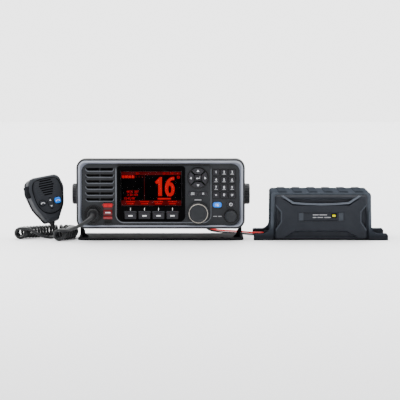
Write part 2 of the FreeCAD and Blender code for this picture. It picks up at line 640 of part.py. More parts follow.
def keypad():
    names = ["1", "2", "3", "4", "5", "6", "7", "8", "9", "star", "0", "hash"]
    return [key(f"key_{name}", f"padLeft + {i % 3} * padAcross", f"padTop - {i // 3} * padDown",
                "padKeyWide", "padKeyTall", "padKeyCorner", FACE) for i, name in enumerate(names)]


def island_keys():
    made = [key(f"soft_key_{i + 1}", f"-softLeft + {i} * softPitch", "softHeight", "softWide",
                "softTall", "softCorner", ISLAND) for i in range(4)]
    for i, label in enumerate(("menu_key", "clear_key")):
        made.append(key(label, f"menuAcross + {i} * menuPitch", "menuHeight", "menuWide", "menuTall",
                        "menuCorner", ISLAND))
    made.append(key("channel_key", "channelAcross", "channelHeight", "channelWide", "channelTall",
                    "channelCorner", FACE))
    made.append(key("power_key", "powerAcross", "powerHeight", "powerWide", "powerTall",
                    "powerCorner", FACE))
    made.append(key("enter_key", "ringAcross", "ringHeight", "enterWide", "enterTall",
                    "enterCorner", ISLAND))
    return made


def arrow_keys():
    """Four segments round the enter key, each a quarter of a ring less its gaps."""
    made = []
    wall = "faceWall + islandRaise"
    for turn, label in enumerate(("arrow_right_key", "arrow_up_key", "arrow_left_key",
                                  "arrow_down_key")):
        middle = turn * math.pi / 2
        spread = math.radians(size("arrowSpread"))
        slant = math.radians(size("arrowSlant"))
        inner, outer = size("ringInner"), size("ringRadius")
        shy = size("arrowShy")
        spots = [(outer, -spread), (outer, 0), (outer, spread), (inner + shy, spread - slant),
                 (inner + shy, slant - spread)]
        points = [Vector(reach * math.cos(middle + swing), 0, reach * math.sin(middle + swing))
                  for reach, swing in spots]
        rim = Part.Wire([Part.Arc(points[0], points[1], points[2]).toShape(),
                         Part.LineSegment(points[2], points[3]).toShape(),
                         Part.LineSegment(points[3], points[4]).toShape(),
                         Part.LineSegment(points[4], points[0]).toShape()])
        solid = Part.Face(rim).extrude(Vector(0, -size(wall + " + keyGap + keyProud"), 0))
        front = solid.BoundBox.YMin
        edges = [e for e in solid.Edges if lies_at(e, y=front)]
        solid = solid.makeFillet(size("keyRound"), edges)
        cap = plain(label, solid)
        cap.Placement = Placement(Vector(size("ringAcross"), -size(f"{ISLAND} - {wall} - keyGap"),
                                         size("ringHeight")), Rotation())
        made.append(cap)
    return made


def dial_shaft():
    """Shaft of the selector switch behind the face; it turns with nothing but clicks in."""
    return turned("dial_shaft", [
        ("0", "-dialProud + 4"), ("dialBore", "-dialProud + 4"), ("dialBore", "faceWall + islandRaise + 0.3"),
        ("6", "faceWall + islandRaise + 0.3"), ("6", "faceWall + islandRaise + shaftDeep"),
        ("0", "faceWall + islandRaise + shaftDeep")], "dialAcross", "dialHeight", f"-({ISLAND})")


def selector_dial():
    """Big knurled dial: skirt, grip and dished face, turning on its shaft."""
    lift = "-dialLift"
    dial = turned("selector_dial", [
        ("dialBore + shaftPlay", lift), ("dialSkirt", lift), ("dialSkirt", lift + " - 2"),
        ("dialRadius + 0.8", lift + " - 3.2"), ("dialRadius", "-dialProud + 1"),
        ("dialRadius - 1", "-dialProud"), ("dialRadius - 2.6", "-dialProud"),
        ("dialRadius - 3.4", "-dialProud + 0.8"), ("0", "-dialProud + 0.8"), ("0", "-dialProud + 3.9"),
        ("dialBore + shaftPlay", "-dialProud + 3.9")], "dialAcross", "dialHeight", f"-({ISLAND})")
    flute = circle(sketch(dial, "XZ", "dialProud + 1"), "dialRadius + gripRadius", "0",
                   "gripRadius + 0.3")
    ring_of(dial, [pocket(dial, flute, "dialProud - 3.4")], "Y", "gripCount")
    return dial


def volume_knob():
    """Small knob with flats round its grip, on its own spindle."""
    knob = turned("volume_knob", [
        ("0", "-volumeProud"), ("volumeRadius - 2.2", "-volumeProud"),
        ("volumeRadius - 1", "-volumeProud + 1.2"), ("volumeRadius", "-0.6"),
        ("dialBore", "-0.6"), ("dialBore", "faceWall + 0.3"), ("5", "faceWall + 0.3"),
        ("5", "faceWall + shaftDeep"), ("0", "faceWall + shaftDeep")],
        "volumeAcross", "volumeHeight", "-facePlane")
    flat = centred(sketch(knob, "XZ", "volumeProud + 1"), "volumeRadius + 3.4", "0", "8", "7.6")
    ring_of(knob, [pocket(knob, flat, "volumeProud - 1.4")], "Y", "volumeFlats")
    return knob


def distress_cover():
    """Sprung flap over the distress key: ridged face, hollow behind, pin at its top."""
    flap = body("distress_cover")
    wide = "coverLeft - coverRight"
    drop = "coverHigh - coverLow"
    face = "-coverProud + pinReach"
    profile = outline(sketch(flap, "YZ", f"-({wide}) / 2"), [
        ("pinReach - 0.4", "-pinRadius"), ("pinReach - 0.4", f"-({drop}) + pinRadius + 0.6"),
        (face + " + 1.2", f"-({drop}) + pinRadius + 0.6"), (face, f"-({drop}) * 0.8"),
        (face + " + 1", f"-({drop}) * 0.66"), (face, f"-({drop}) * 0.5"),
        (face + " + 1.2", f"-({drop}) * 0.3"), (face + " - 0.4", f"-({drop}) * 0.16"),
        (face + " + 0.6", "pinRadius + 0.6"), ("pinRadius", "pinRadius + 0.6")])
    pad(flap, profile, wide)
    hollow = rectangle(sketch(flap, "XZ", "-pinReach - 1"), f"-({wide}) / 2 + coverWall",
                       f"-({drop}) + pinRadius + coverWall + 0.6", f"({wide}) / 2 - coverWall", "-3.2")
    pocket(flap, hollow, "pinReach + 1 + coverProud - pinReach - 2.6", flipped=True)
    spindle = circle(sketch(flap, "YZ", f"-({wide}) / 2 - 2.6"), "0", "0", "pinRadius")
    pad(flap, spindle, f"{wide} + 5.2")
    place(flap, "-(coverLeft + coverRight) / 2", "-facePlane - pinReach",
          "coverHigh - pinRadius - 0.6")
    return flap


def distress_button():
    return turned("distress_button", [
        ("0", "-distressProud"), ("distressRadius - 0.6", "-distressProud"),
        ("distressRadius", "-distressProud + 0.6"), ("distressRadius", "faceWall + keyGap"),
        ("distressRadius + 1", "faceWall + keyGap"),
        ("distressRadius + 1", "faceWall + keyGap + flangeDeep"),
        ("0", "faceWall + keyGap + flangeDeep")],
        "-(coverLeft + coverRight) / 2", "distressHeight", "-facePlane")


def bracket():
    """Bent steel bracket: foot with screw holes, two arms, and lips that stiffen them."""
    frame = body("bracket")
    foot = centred(sketch(frame, "XY"), "0", "0", "2 * footHalf", "footDepth", "footCorner")
    pad(frame, foot, "footThick")
    for side, flipped in (("-", True), ("", False)):
        arm = outline(sketch(frame, "YZ", side + "(armOuter - armThick)"), [
            ("-armHalf - 22", "footThick / 2"), ("armHalf + 22", "footThick / 2"),
            ("armHalf + 22", "footThick + 1"), ("armHalf", "footThick + 5", "3"),
            ("armTop", "tiltHeight + armTop", "armTop - 1"),
            ("-armTop", "tiltHeight + armTop", "armTop - 1"),
            ("-armHalf", "footThick + 5", "3"), ("-armHalf - 22", "footThick + 1")])
        pad(frame, arm, "armThick", flipped=flipped)
        lip = outline(sketch(frame, "XZ", "armHalf - footThick"), [
            (side + "(armOuter - armThick / 2)", "footThick / 2"),
            (side + "(armOuter - armThick / 2)", "lipHigh"),
            (side + "(armOuter - armThick - 1)", "lipHigh"),
            (side + "(armOuter - lipWide)", "lipHigh - 5"),
            (side + "(armOuter - lipWide)", "footThick + 6"),
            (side + "(armOuter - 2 * lipWide)", "footThick / 2")])
        pad(frame, lip, "footThick")
    pivot = circle(sketch(frame, "YZ", "-armOuter - 1"), "0", "tiltHeight", "armHole")
    pocket(frame, pivot, "2 * armOuter + 2", flipped=True)
    holes = sketch(frame, "XY", "footThick")
    for across in ("-", ""):
        for deep in ("-", ""):
            circle(holes, across + "screwAcross / 2", deep + "screwDeep / 2", "screwHole / 2")
    pocket(frame, holes, "footThick")
    return frame


def clamp_knob(label, side):
    """Ribbed clamp knob with the stud that runs through the arm into the head."""
    knob = body(label)
    revolve(knob, outline(sketch(knob, "XY"), [
        ("-studReach", "0"), ("-studReach", "studRadius"), ("0.3", "studRadius"),
        ("0.3", "knobRadius - 4"), ("1.5", "knobRadius - 1"), ("3", "knobRadius"),
        ("knobThick - 2", "knobRadius"), ("knobThick", "knobRadius - 2"),
        ("knobThick", "knobRadius - 6"), ("knobThick - 1.5", "knobRadius - 7"),
        ("knobThick - 1.5", "0")]), "X")
    notch = circle(sketch(knob, "YZ", "1"), "knobRadius + notchRadius / 3", "0", "notchRadius")
    ring_of(knob, [pocket(knob, notch, "knobThick", flipped=True)], "X", "knobNotches")
    knob.Placement = Placement(Vector(side * size("armOuter"), 0, size("tiltHeight")),
                               Rotation(Vector(0, 0, 1), 0 if side > 0 else 180))
    return knob


def microphone_pose(spot=Vector()):
    """Place and turn of the microphone, leaning on its cord."""
    turn = (Rotation(Vector(0, 0, 1), size("micYaw")) * Rotation(Vector(0, 1, 0), -size("micRoll"))
            * Rotation(Vector(1, 0, 0), -size("micLean")))
    base = Vector(-size("micAcross"), size("micBack"), size("micUp"))
    return Placement(base + turn.multVec(spot), turn)


def mic_outline(target, inset="0"):
    """Outline of the microphone: rounded top, widest at the shoulder, narrow at the neck."""
    return outline(target, [
        (f"-micTopHalf + {inset}", f"micTop - {inset}", "12"),
        (f"-micHalf + {inset}", "micShoulder", "22"), (f"-micWaist + {inset}", "-micWaistLow", "40"),
        ("-micNeckHalf", "-micNeck", "4"), ("micNeckHalf", "-micNeck", "4"),
        (f"micWaist - {inset}", "-micWaistLow", "40"), (f"micHalf - {inset}", "micShoulder", "22"),
        (f"micTopHalf - {inset}", f"micTop - {inset}", "12")])


def mic_front_case():
    """Front shell: rounded face, raised panel with grille slots, and the key openings."""
    case = body("mic_front_case")
    pad(case, mic_outline(sketch(case, "XZ")), "micFront")
    front = -size("micFront")
    soften(case, "micRound", lambda e: lies_at(e, y=front))
    panel = outline(sketch(case, "XZ", "micFront - 1"), [
        ("-micTopHalf + micPanelInset", "micTop - micPanelInset", "5"),
        ("-micHalf + micPanelInset + 2", "micShoulder", "20"),
        ("-micWaist + micPanelInset + 2", "-micWaistLow + 2", "20"), ("-8", "-micPanelLow", "8"),
        ("8", "-micPanelLow", "8"), ("micWaist - micPanelInset - 2", "-micWaistLow + 2", "20"),
        ("micHalf - micPanelInset - 2", "micShoulder", "20"),
        ("micTopHalf - micPanelInset", "micTop - micPanelInset", "5")])
    pad(case, panel, "1 + micPanelRaise")
    face = "micFront + micPanelRaise"
    for index in range(int(size("slotCount"))):
        up = f"slotTop - {index} * slotPitch"
        half = f"14 - {abs(index - 2)} * 1.6"
        slot = centred(sketch(case, "XZ", face), "0", up, f"2 * ({half})", "slotTall", "slotTall / 2 - 0.05")
        pocket(case, slot, "slotDeep")
    for across, up, wide, tall, corner in (
            ("-hangupLeft", "-hangupHeight", "hangupWide", "hangupTall", "3.6"),
            ("hangupLeft", "-hangupHeight", "callWide", "callTall", "3.4"),
            ("0.5", "-rockerHeight", "rockerWide", "rockerTall", "3.8")):
        well = centred(sketch(case, "XZ", face), across, up, wide + " + 2 * keyGap",
                       tall + " + 2 * keyGap", corner)
        pocket(case, well, "micKeyDeep + keyTravel + 0.1")
    side = centred(sketch(case, "YZ", "-micHalf - 2"), "-micFront / 2", "talkHeight",
                   "talkWide + 2 * keyGap", "talkLong + 2 * keyGap", "2.5")
    pocket(case, side, "talkDeep + talkTravel + 2.3", flipped=True)
    case.Placement = microphone_pose()
    return case


def mic_rear_case():
    case = body("mic_rear_case")
    pad(case, mic_outline(sketch(case, "XZ")), "micRear", flipped=True)
    back = size("micRear")
    soften(case, "micRound", lambda e: lies_at(e, y=back))
    hole = circle(sketch(case, "XZ", "-micRear"), "0", "studHeight", "studNeck + shaftPlay")
    pocket(case, hole, "4", flipped=True)
    case.Placement = microphone_pose()
    return case


def mic_keys():
    """Hang-up key, rocker and call key of the microphone face."""
    made = []
    for label, across, up, wide, tall, corner in (
            ("mic_hangup_key", "-hangupLeft", "-hangupHeight", "hangupWide", "hangupTall", "3.6"),
            ("mic_rocker", "0.5", "-rockerHeight", "rockerWide", "rockerTall", "3.8"),
            ("mic_channel_key", "hangupLeft", "-hangupHeight", "callWide", "callTall", "3.4")):
        cap = body(label)
        pad(cap, centred(sketch(cap, "XZ"), "0", "0", wide, tall, corner),
            "micKeyDeep + micKeyProud")
        front = -size("micKeyDeep + micKeyProud")
        soften(cap, "keyRound", lambda e: lies_at(e, y=front))
        spot = Vector(size(across), -size("micFront + micPanelRaise - micKeyDeep"), size(up))
        cap.Placement = microphone_pose(spot)
        made.append(cap)
    return made


def ptt_key():
    """Talk key on the left flank, a long bar with rounded ends."""
    bar = body("ptt_key")
    pad(bar, centred(sketch(bar, "YZ"), "0", "0", "talkWide", "talkLong", "2.5"),
        "talkDeep + talkProud", flipped=True)
    outer = -size("talkDeep + talkProud")
    soften(bar, "1.8", lambda e: lies_at(e, x=outer))
    spot = Vector(-size("micHalf - talkDeep"), -size("micFront / 2"), size("talkHeight"))
    bar.Placement = microphone_pose(spot)
    return bar


def mic_hanger_stud():
    """Stud on the back by which the microphone hangs from its clip."""
    stud = body("mic_hanger_stud")
    revolve(stud, outline(sketch(stud, "XY"), [
        ("0", "-4"), ("studNeck", "-4"), ("studNeck", "studLong - 3"), ("studHead", "studLong - 2.4"),
        ("studHead", "studLong - 0.6"), ("studHead - 1", "studLong"), ("0", "studLong")]), "Y")
    stud.Placement = microphone_pose(Vector(0, size("micRear"), size("studHeight")))
    return stud


def mic_strain_relief():
    """Tapered boot below the neck."""
    boot = body("mic_strain_relief")
    revolve(boot, outline(sketch(boot, "XZ"), [
        ("0", "0"), ("reliefTop", "0"), ("reliefTop", "-3"), ("reliefTop - 1", "-3.4"),
        ("cordRadius + 0.8", "-reliefLong"), ("0", "-reliefLong")]), "Z")
    boot.Placement = microphone_pose(Vector(0, -size("micFront / 4"), -size("micNeck")))
    return boot


def plain(label, shape):
    """A solid worked out by formula."""
    made = doc.addObject("Part::Feature", "".join(word.title() for word in label.split("_")))
    made.Label = label
    made.Shape = shape
    made.Placement = Placement()
    return made


def route_wire(points):
    """Straight runs joined by tangent arcs, each as large as its two runs allow."""
    edges, here, radii = [], points[0], []
    for before, corner, after in zip(points, points[1:], points[2:]):
        back, ahead = before - corner, after - corner
        half_turn = (math.pi - back.getAngle(ahead)) / 2
        cut = 0.45 * min(back.Length, ahead.Length)
        radius = cut / math.tan(half_turn)
        first = corner + Vector(back).normalize() * cut
        last = corner + Vector(ahead).normalize() * cut
        inward = (Vector(back).normalize() + Vector(ahead).normalize()).normalize()
        middle = corner + inward * (radius / math.cos(half_turn) - radius)
        edges.append(Part.LineSegment(here, first).toShape())
        edges.append(Part.Arc(first, middle, last).toShape())
        radii.append(radius)
        here = last
    edges.append(Part.LineSegment(here, points[-1]).toShape())
    return Part.Wire(edges), radii


def tube(label, points, radius):
    """A round cord along a route; its volume is set against its section and length."""
    path, radii = route_wire(points)
    start = (points[1] - points[0]).normalize()
    ring = Part.Wire([Part.Circle(points[0], start, radius).toShape()])
    solid = path.makePipeShell([ring], True, False)
    filled = solid.Volume / (math.pi * radius ** 2 * path.Length)
    lowest = min(corner.z for corner in solid.tessellate(0.05)[0])
    print(f"{label}: length {path.Length:.1f}, filled {filled:.4f}, lowest {lowest:.2f}, "
          f"radii {[round(r, 1) for r in radii]}")
    return plain(label, solid)


def coil_axis():
    """Walk the line that the curls wind about, as points with heading and bend."""
    step = 0.25
    here = Vector(size("firstMouthX"), size("firstMouthY"), 0)
    heading = math.pi / 2
    marks = []
    legs = [(size("firstLead"), 0), ("firstTurn", "firstBend", -1), (size("longRun"), 0),
            ("hairpinTurn", "hairpinBend", -1), (size("sideRun"), 0), ("swayTurn", "swayBend", -1),
            ("swayTurn", "swayBend", 1), (size("lastLead"), 0)]
    for leg in legs:
        if len(leg) == 2:
            length, bend = leg
        else:
            bend = leg[2] / size(leg[1])
            length = math.radians(size(leg[0])) * size(leg[1])
        count = max(1, round(length / step))
        for _ in range(count):
            marks.append((Vector(here), heading, bend))
            heading += bend * length / count / 2
            here += Vector(math.cos(heading), math.sin(heading), 0) * (length / count)
            heading += bend * length / count / 2
    marks.append((Vector(here), heading, 0))
    return marks


def curl_points():
    """Points of the curly cord at each half turn with their tangents, wound left-handed."""
    marks = coil_axis()
    reach, pitch = size("curlRadius"), size("curlPitch")
    spread = 20
    bends = [sum(abs(m[2]) for m in marks[max(0, i - spread):i + spread + 1])
             / len(marks[max(0, i - spread):i + spread + 1]) for i in range(len(marks))]
    turn = [0.0]
    for i in range(1, len(marks)):
        gap = (marks[i][0] - marks[i - 1][0]).Length
        turn.append(turn[-1] + 2 * math.pi * gap * (1 - reach * bends[i]) / pitch)
    curls = int(turn[-1] / (2 * math.pi))
    scale = curls * 2 * math.pi / turn[-1]
    turn = [t * scale for t in turn]
    height = reach + size("curlHex") + size("floorGap")

    def spot(angle):
        i = next((k for k in range(1, len(turn)) if turn[k] >= angle - 1e-9), len(turn) - 1)
        share = (angle - turn[i - 1]) / (turn[i] - turn[i - 1])
        base = marks[i - 1][0] + (marks[i][0] - marks[i - 1][0]) * share
        heading = marks[i - 1][1] + (marks[i][1] - marks[i - 1][1]) * share
        left = Vector(-math.sin(heading), math.cos(heading), 0)
        return base + Vector(0, 0, height) + Vector(0, 0, reach * math.cos(angle)) + left * (
            reach * math.sin(angle))

    points = []
    for k in range(2 * curls + 1):
        angle = k * math.pi
        low, high = max(0, angle - 0.02), min(turn[-1], angle + 0.02)
        points.append((spot(angle), (spot(high) - spot(low)).normalize()))
    return points, curls


def biarc(start, aim, end, arrive):
    """Two arcs that leave one point along its tangent and reach the next along its own."""
    span = end - start
    both = aim + arrive
    share = 2 * (1 - aim.dot(arrive))
    reach = (-span.dot(both) + math.sqrt(span.dot(both) ** 2 + share * span.dot(span))) / share
    middle = (start + end + (aim - arrive) * reach) * 0.5
    tangent = (end - arrive * reach - start - aim * reach).normalize()
    return [arc_from(start, aim, middle), arc_from(middle, tangent, end)]


def arc_from(start, aim, end):
    """Arc through two points along the first one's tangent."""
    chord = end - start
    normal = chord.cross(aim).cross(aim).normalize()
    if normal.dot(chord) < 0:
        normal = -normal
    radius = chord.dot(chord) / (2 * chord.dot(normal))
    centre = start + normal * radius
    outward = ((start + end) * 0.5 - centre)
    swing = Vector(outward).normalize() * radius
    if aim.dot(chord) < 0:
        swing = -swing
    return Part.Arc(start, centre + swing, end).toShape()


def mic_cord_coil():
    """Curly stretch of the cord: one tube wound about its bent axis."""
    points, curls = curl_points()
    lead = size("cordLead")
    first, aim = points[0]
    last, leave = points[-1]
    edges = [Part.LineSegment(first - aim * lead, first).toShape()]
    for (start, tangent), (end, arrive) in zip(points, points[1:]):
        edges += biarc(start, tangent, end, arrive)
    edges.append(Part.LineSegment(last, last + leave * lead).toShape())
    path = Part.Wire(edges)
    side = aim.cross(Vector(0, 0, 1)).normalize()
    over = side.cross(aim).normalize()
    ring = [first - aim * lead + (side * math.cos(k * math.pi / 3) + over * math.sin(k * math.pi / 3))
            * size("curlHex") for k in range(7)]
    solid = path.makePipeShell([Part.makePolygon(ring)], True, False)
    section = 1.5 * math.sqrt(3) * size("curlHex") ** 2
    samples = path.discretize(Distance=1.0)
    apart = min((samples[i] - samples[k]).Length for i in range(len(samples))
                for k in range(i + 12, len(samples)))
    print(f"mic_cord_coil: {curls} curls, length {path.Length:.0f}, filled "
          f"{solid.Volume / (section * path.Length):.4f}, lowest {solid.BoundBox.ZMin:.2f}, "
          f"least gap to itself {apart - 2 * size('curlHex'):.2f}")
    return plain("mic_cord_coil", solid), (first - aim * lead, aim), (last + leave * lead, leave)


def radio_tail(end, aim):
    """Straight stretch from the plug down to the coil's near mouth."""
    nose = Vector(-size("socketLeft"), -size("facePlane + plugProud + plugNose"), size("socketUp"))
    return tube("mic_cord_radio_tail", [
        nose, nose + Vector(0, -9, 0), Vector(-113, -96, 38), Vector(-121.5, -99, 32),
        Vector(-132, -96, 26), Vector(-142.5, -89, 21.5), end + aim * 10, end], size("cordRadius"))


def mic_tail(end, aim):
    """Straight stretch from the microphone's boot along the table to the far mouth."""
    boot = microphone_pose(Vector(0, -size("micFront / 4"), -size("micNeck + reliefLong")))
    down = boot.Rotation.multVec(Vector(0, 0, -1))
    return tube("mic_cord_mic_tail", [
        boot.Base, boot.Base + down * 6.5, Vector(-174.6, -11.5, 5), Vector(-175.6, -18.5, 2.9),
        Vector(-179.6, -26.5, 2.5), Vector(-187, -33.5, 3.4), Vector(-196.5, -38, 7),
        Vector(-207, -39, 12.5), end - aim * 10, end],
        size("cordRadius"))


def power_cable():
    """Twin lead from the head's gland round behind the bracket to the power box."""
    gland = Vector(size("socketAcross"), size("caseBack + 14"), size("socketHeight"))
    floor = size("leadRadius + floorGap")
    entry = Vector(size("boxLeft - glandReach"), size("glandDepth"), floor)
    return tube("power_cable", [
        gland, gland + Vector(0, 12, 0), Vector(61, 84, 34), Vector(66, 94, 18), Vector(78, 98, 5.5),
        Vector(96, 93, floor), Vector(116, 80, floor), Vector(134, 65, floor),
        Vector(146, 51, floor), Vector(157, size("glandDepth"), floor), entry], size("leadRadius"))


def psu_case():
    """Power box: ribbed top, swept feet with slots, and the boss where the lead goes in."""
    box = body("psu_case")
    case = outline(sketch(box, "XZ", "boxFront - coverSeat"), [
        ("boxLeft - 0.6", "0", "1"), ("boxRight + 0.6", "0", "1"), ("boxRight - 0.3", "boxTop", "boxCorner"),
        ("boxLeft + 0.3", "boxTop", "boxCorner")])
    pad(box, case, "boxDepth - coverSeat", flipped=True)
    rib = rectangle(sketch(box, "XZ", "boxFront - coverSeat - 4"),
                    "(boxLeft + boxRight) / 2 - 2.5 * boxRibPitch - boxRibWide / 2", "boxTop - 1",
                    "(boxLeft + boxRight) / 2 - 2.5 * boxRibPitch + boxRibWide / 2",
                    "boxTop + boxRibTall", "0.9")
    row_of(box, [pad(box, rib, "boxDepth - coverSeat - 8", flipped=True)], "X",
           "(boxRibs - 1) * boxRibPitch", "boxRibs")
    for wall, reach in (("boxLeft", "-"), ("boxRight", "")):
        sign = 1 if reach == "" else -1
        profile = outline(sketch(box, "XZ", "boxFront"), [
            (f"{wall} - {sign} * 4", "0"), (f"{wall} + {sign} * tabReach", "0"),
            (f"{wall} + {sign} * tabReach", "tabThick", "2.5"), (f"{wall} + {sign} * 0.6", "tabThick", "tabSweep"),
            (f"{wall}", "boxTop * 0.6"), (f"{wall} - {sign} * 4", "boxTop * 0.6")])
        tab = pad(box, profile, "tabDeep", flipped=True)
        hole = circle(sketch(box, "XY", "tabThick"), f"{wall} + {sign} * (tabReach - tabInset)",
                      "-boxFront + tabDeep / 2", "tabHole / 2")
        drill = pocket(box, hole, "tabThick")
        row_of(box, [tab, drill], "Y", "boxDepth - tabDeep", 2)
    seat = psu_cover_outline(sketch(box, "XZ", "boxFront - coverSeat"), "fitGap")
    pocket(box, seat, "coverThick - coverSeat")
    boss = outline(sketch(box, "YZ", "boxLeft - glandReach"), [
        ("glandDepth - glandWide / 2", "0"), ("glandDepth + glandWide / 2", "0"),
        ("glandDepth + glandWide / 2", "glandWide - 1", "3"),
        ("glandDepth - glandWide / 2", "glandWide - 1", "3")])
    pad(box, boss, "glandReach + 1")
    return box


def psu_cover_outline(target, gap):
    left, right = f"boxLeft + coverInset - {gap}", f"boxRight - coverInset + {gap}"
    return rectangle(target, left, f"2.5 - {gap}", right, f"boxTop - 3.5 + {gap}", "5")


def psu_front_cover():
    """Front cover: a thick panel with four tapered scoops and a window for the lamp."""
    cover = body("psu_front_cover")
    pad(cover, psu_cover_outline(sketch(cover, "XZ", "boxFront - coverThick"), "0"), "coverThick")
    front = -size("boxFront")
    soften(cover, "coverRim / 2", lambda e: lies_at(e, y=front), "Chamfer")
    middle = "(boxLeft + boxRight) / 2"
    top = "boxTop"
    scoops = [
        [(f"{middle} - 64", f"{top} - 9"), (f"{middle} - 46", f"{top} - 21"),
         (f"{middle} + 46", f"{top} - 21"), (f"{middle} + 64", f"{top} - 9")],
        [(f"{middle} - 63", "4"), (f"{middle} + 63", "4"), (f"{middle} + 41", "16"),
         (f"{middle} - 41", "16")]]
    for sign in ("-", "+"):
        scoops.append([(f"{middle} {sign} 74", "16"), (f"{middle} {sign} 74", "59"),
                       (f"{middle} {sign} 65", "46"), (f"{middle} {sign} 65", "30")])
    for corners in scoops:
        pocket(cover, outline(sketch(cover, "XZ", "boxFront"), corners), "scoopDeep", taper="-25")
    window = rectangle(sketch(cover, "XZ", "boxFront"), "windowLeft", "windowLow", "windowRight",
                       "windowHigh", "1.5")
    pocket(cover, window, "windowDeep")
    plate = rectangle(sketch(cover, "XZ", "boxFront - windowDeep"), "plateLeft", "windowLow + 1.4",
                      "plateRight", "windowHigh - 1.4", "0.8")
    pad(cover, plate, "windowDeep / 2")
    hole = centred(sketch(cover, "XZ", "boxFront"), "lampAcross", "lampHeight",
                   "lampWide + 2 * fitGap", "lampTall + 2 * fitGap")
    pocket(cover, hole, "4")
    return cover


def psu_indicator():
    lamp = body("psu_indicator")
    pad(lamp, centred(sketch(lamp, "XZ", "boxFront - 4 + fitGap"), "lampAcross", "lampHeight",
                      "lampWide", "lampTall", "0.6"), "4 - windowDeep / 2")
    return lamp


def build_set():
    """Make every sub-part and return them in order."""
    made = [front_panel(), rim_trim(), display_lens(), display_screen(), speaker_driver(),
            main_board(), rear_case(), case_gasket(), mic_socket(), antenna_socket(), power_gland()]
    made += keypad() + island_keys() + arrow_keys()
    made += [dial_shaft(), selector_dial(), volume_knob(), distress_cover(), distress_button()]
    made += [bracket(), clamp_knob("left_clamp_knob", -1), clamp_knob("right_clamp_knob", 1)]
    made += [mic_front_case(), mic_rear_case(), ptt_key(), mic_hanger_stud(), mic_strain_relief()]
    made += mic_keys()
    coil, (far_end, far_aim), (near_end, near_aim) = mic_cord_coil()
    made += [mic_plug(), coil, radio_tail(near_end, near_aim), mic_tail(far_end, far_aim)]
    made += [psu_case(), psu_front_cover(), psu_indicator(), power_cable()]
    return made


parts = build_set()
doc.recompute()
for item in doc.Objects:
    if {"Invalid", "Error"} & set(item.State):
        raise RuntimeError(f"{item.Label} did not build: {item.State}")
for item in parts:
    if item.Shape.isNull() or not item.Shape.isValid() or item.Shape.Volume <= 0:
        raise RuntimeError(f"{item.Label} has no sound solid")
    item.Shape.exportStep(f"parts/{item.Label}.step")
print(f"{len(parts)} parts written")
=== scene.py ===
import math

import bmesh
import bpy
from mathutils import Matrix, Vector


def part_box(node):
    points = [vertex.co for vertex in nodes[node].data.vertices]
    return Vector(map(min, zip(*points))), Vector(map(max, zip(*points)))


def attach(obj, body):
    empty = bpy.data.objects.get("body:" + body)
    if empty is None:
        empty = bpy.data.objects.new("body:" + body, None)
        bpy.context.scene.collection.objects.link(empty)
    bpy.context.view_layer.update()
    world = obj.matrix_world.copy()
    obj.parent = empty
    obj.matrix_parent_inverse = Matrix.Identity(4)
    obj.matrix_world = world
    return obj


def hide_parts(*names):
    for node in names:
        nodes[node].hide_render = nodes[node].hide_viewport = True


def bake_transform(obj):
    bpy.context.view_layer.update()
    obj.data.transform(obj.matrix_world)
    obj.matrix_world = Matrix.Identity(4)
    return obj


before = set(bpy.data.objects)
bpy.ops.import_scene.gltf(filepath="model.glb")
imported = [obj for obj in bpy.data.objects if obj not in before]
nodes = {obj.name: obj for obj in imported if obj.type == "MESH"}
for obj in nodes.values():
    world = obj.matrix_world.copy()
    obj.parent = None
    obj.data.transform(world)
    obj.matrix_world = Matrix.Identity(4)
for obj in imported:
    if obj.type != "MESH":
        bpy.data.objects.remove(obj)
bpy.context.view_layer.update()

# Marine VHF set, dressed for the studio: finishes, prints, the lit screen and the real cords.
# Metres. Sizes in lists of points and in calls are millimetres where MM scales them.
MM = 0.001


# Shader arithmetic

class Signal:
    """A value on its way between shader nodes, on which arithmetic adds Math nodes."""

    def __init__(self, finish, socket):
        self.finish, self.socket = finish, socket

    def of(self, name):
        """Another output of the node that made this value."""
        return Signal(self.finish, self.socket.node.outputs[name])

    def maths(self, operation, *values):
        """A Math node over values and signals."""
        return self.finish.node("Math", {"operation": operation}, dict(enumerate(values)))

    def __add__(self, other):
        return self.maths("ADD", self, other)

    __radd__ = __add__

    def __sub__(self, other):
        return self.maths("SUBTRACT", self, other)

    def __rsub__(self, other):
        return self.maths("SUBTRACT", other, self)

    def __mul__(self, other):
        return self.maths("MULTIPLY", self, other)

    __rmul__ = __mul__

    def __abs__(self):
        return self.maths("ABSOLUTE", self)

    def root(self):
        """The square root."""
        return self.maths("SQRT", self)

    def eased(self, start, end):
        """0 before start, 1 after end, smooth between."""
        return self.finish.node("MapRange", {"interpolation_type": "SMOOTHSTEP"},
                                {0: self, 1: start, 2: end})


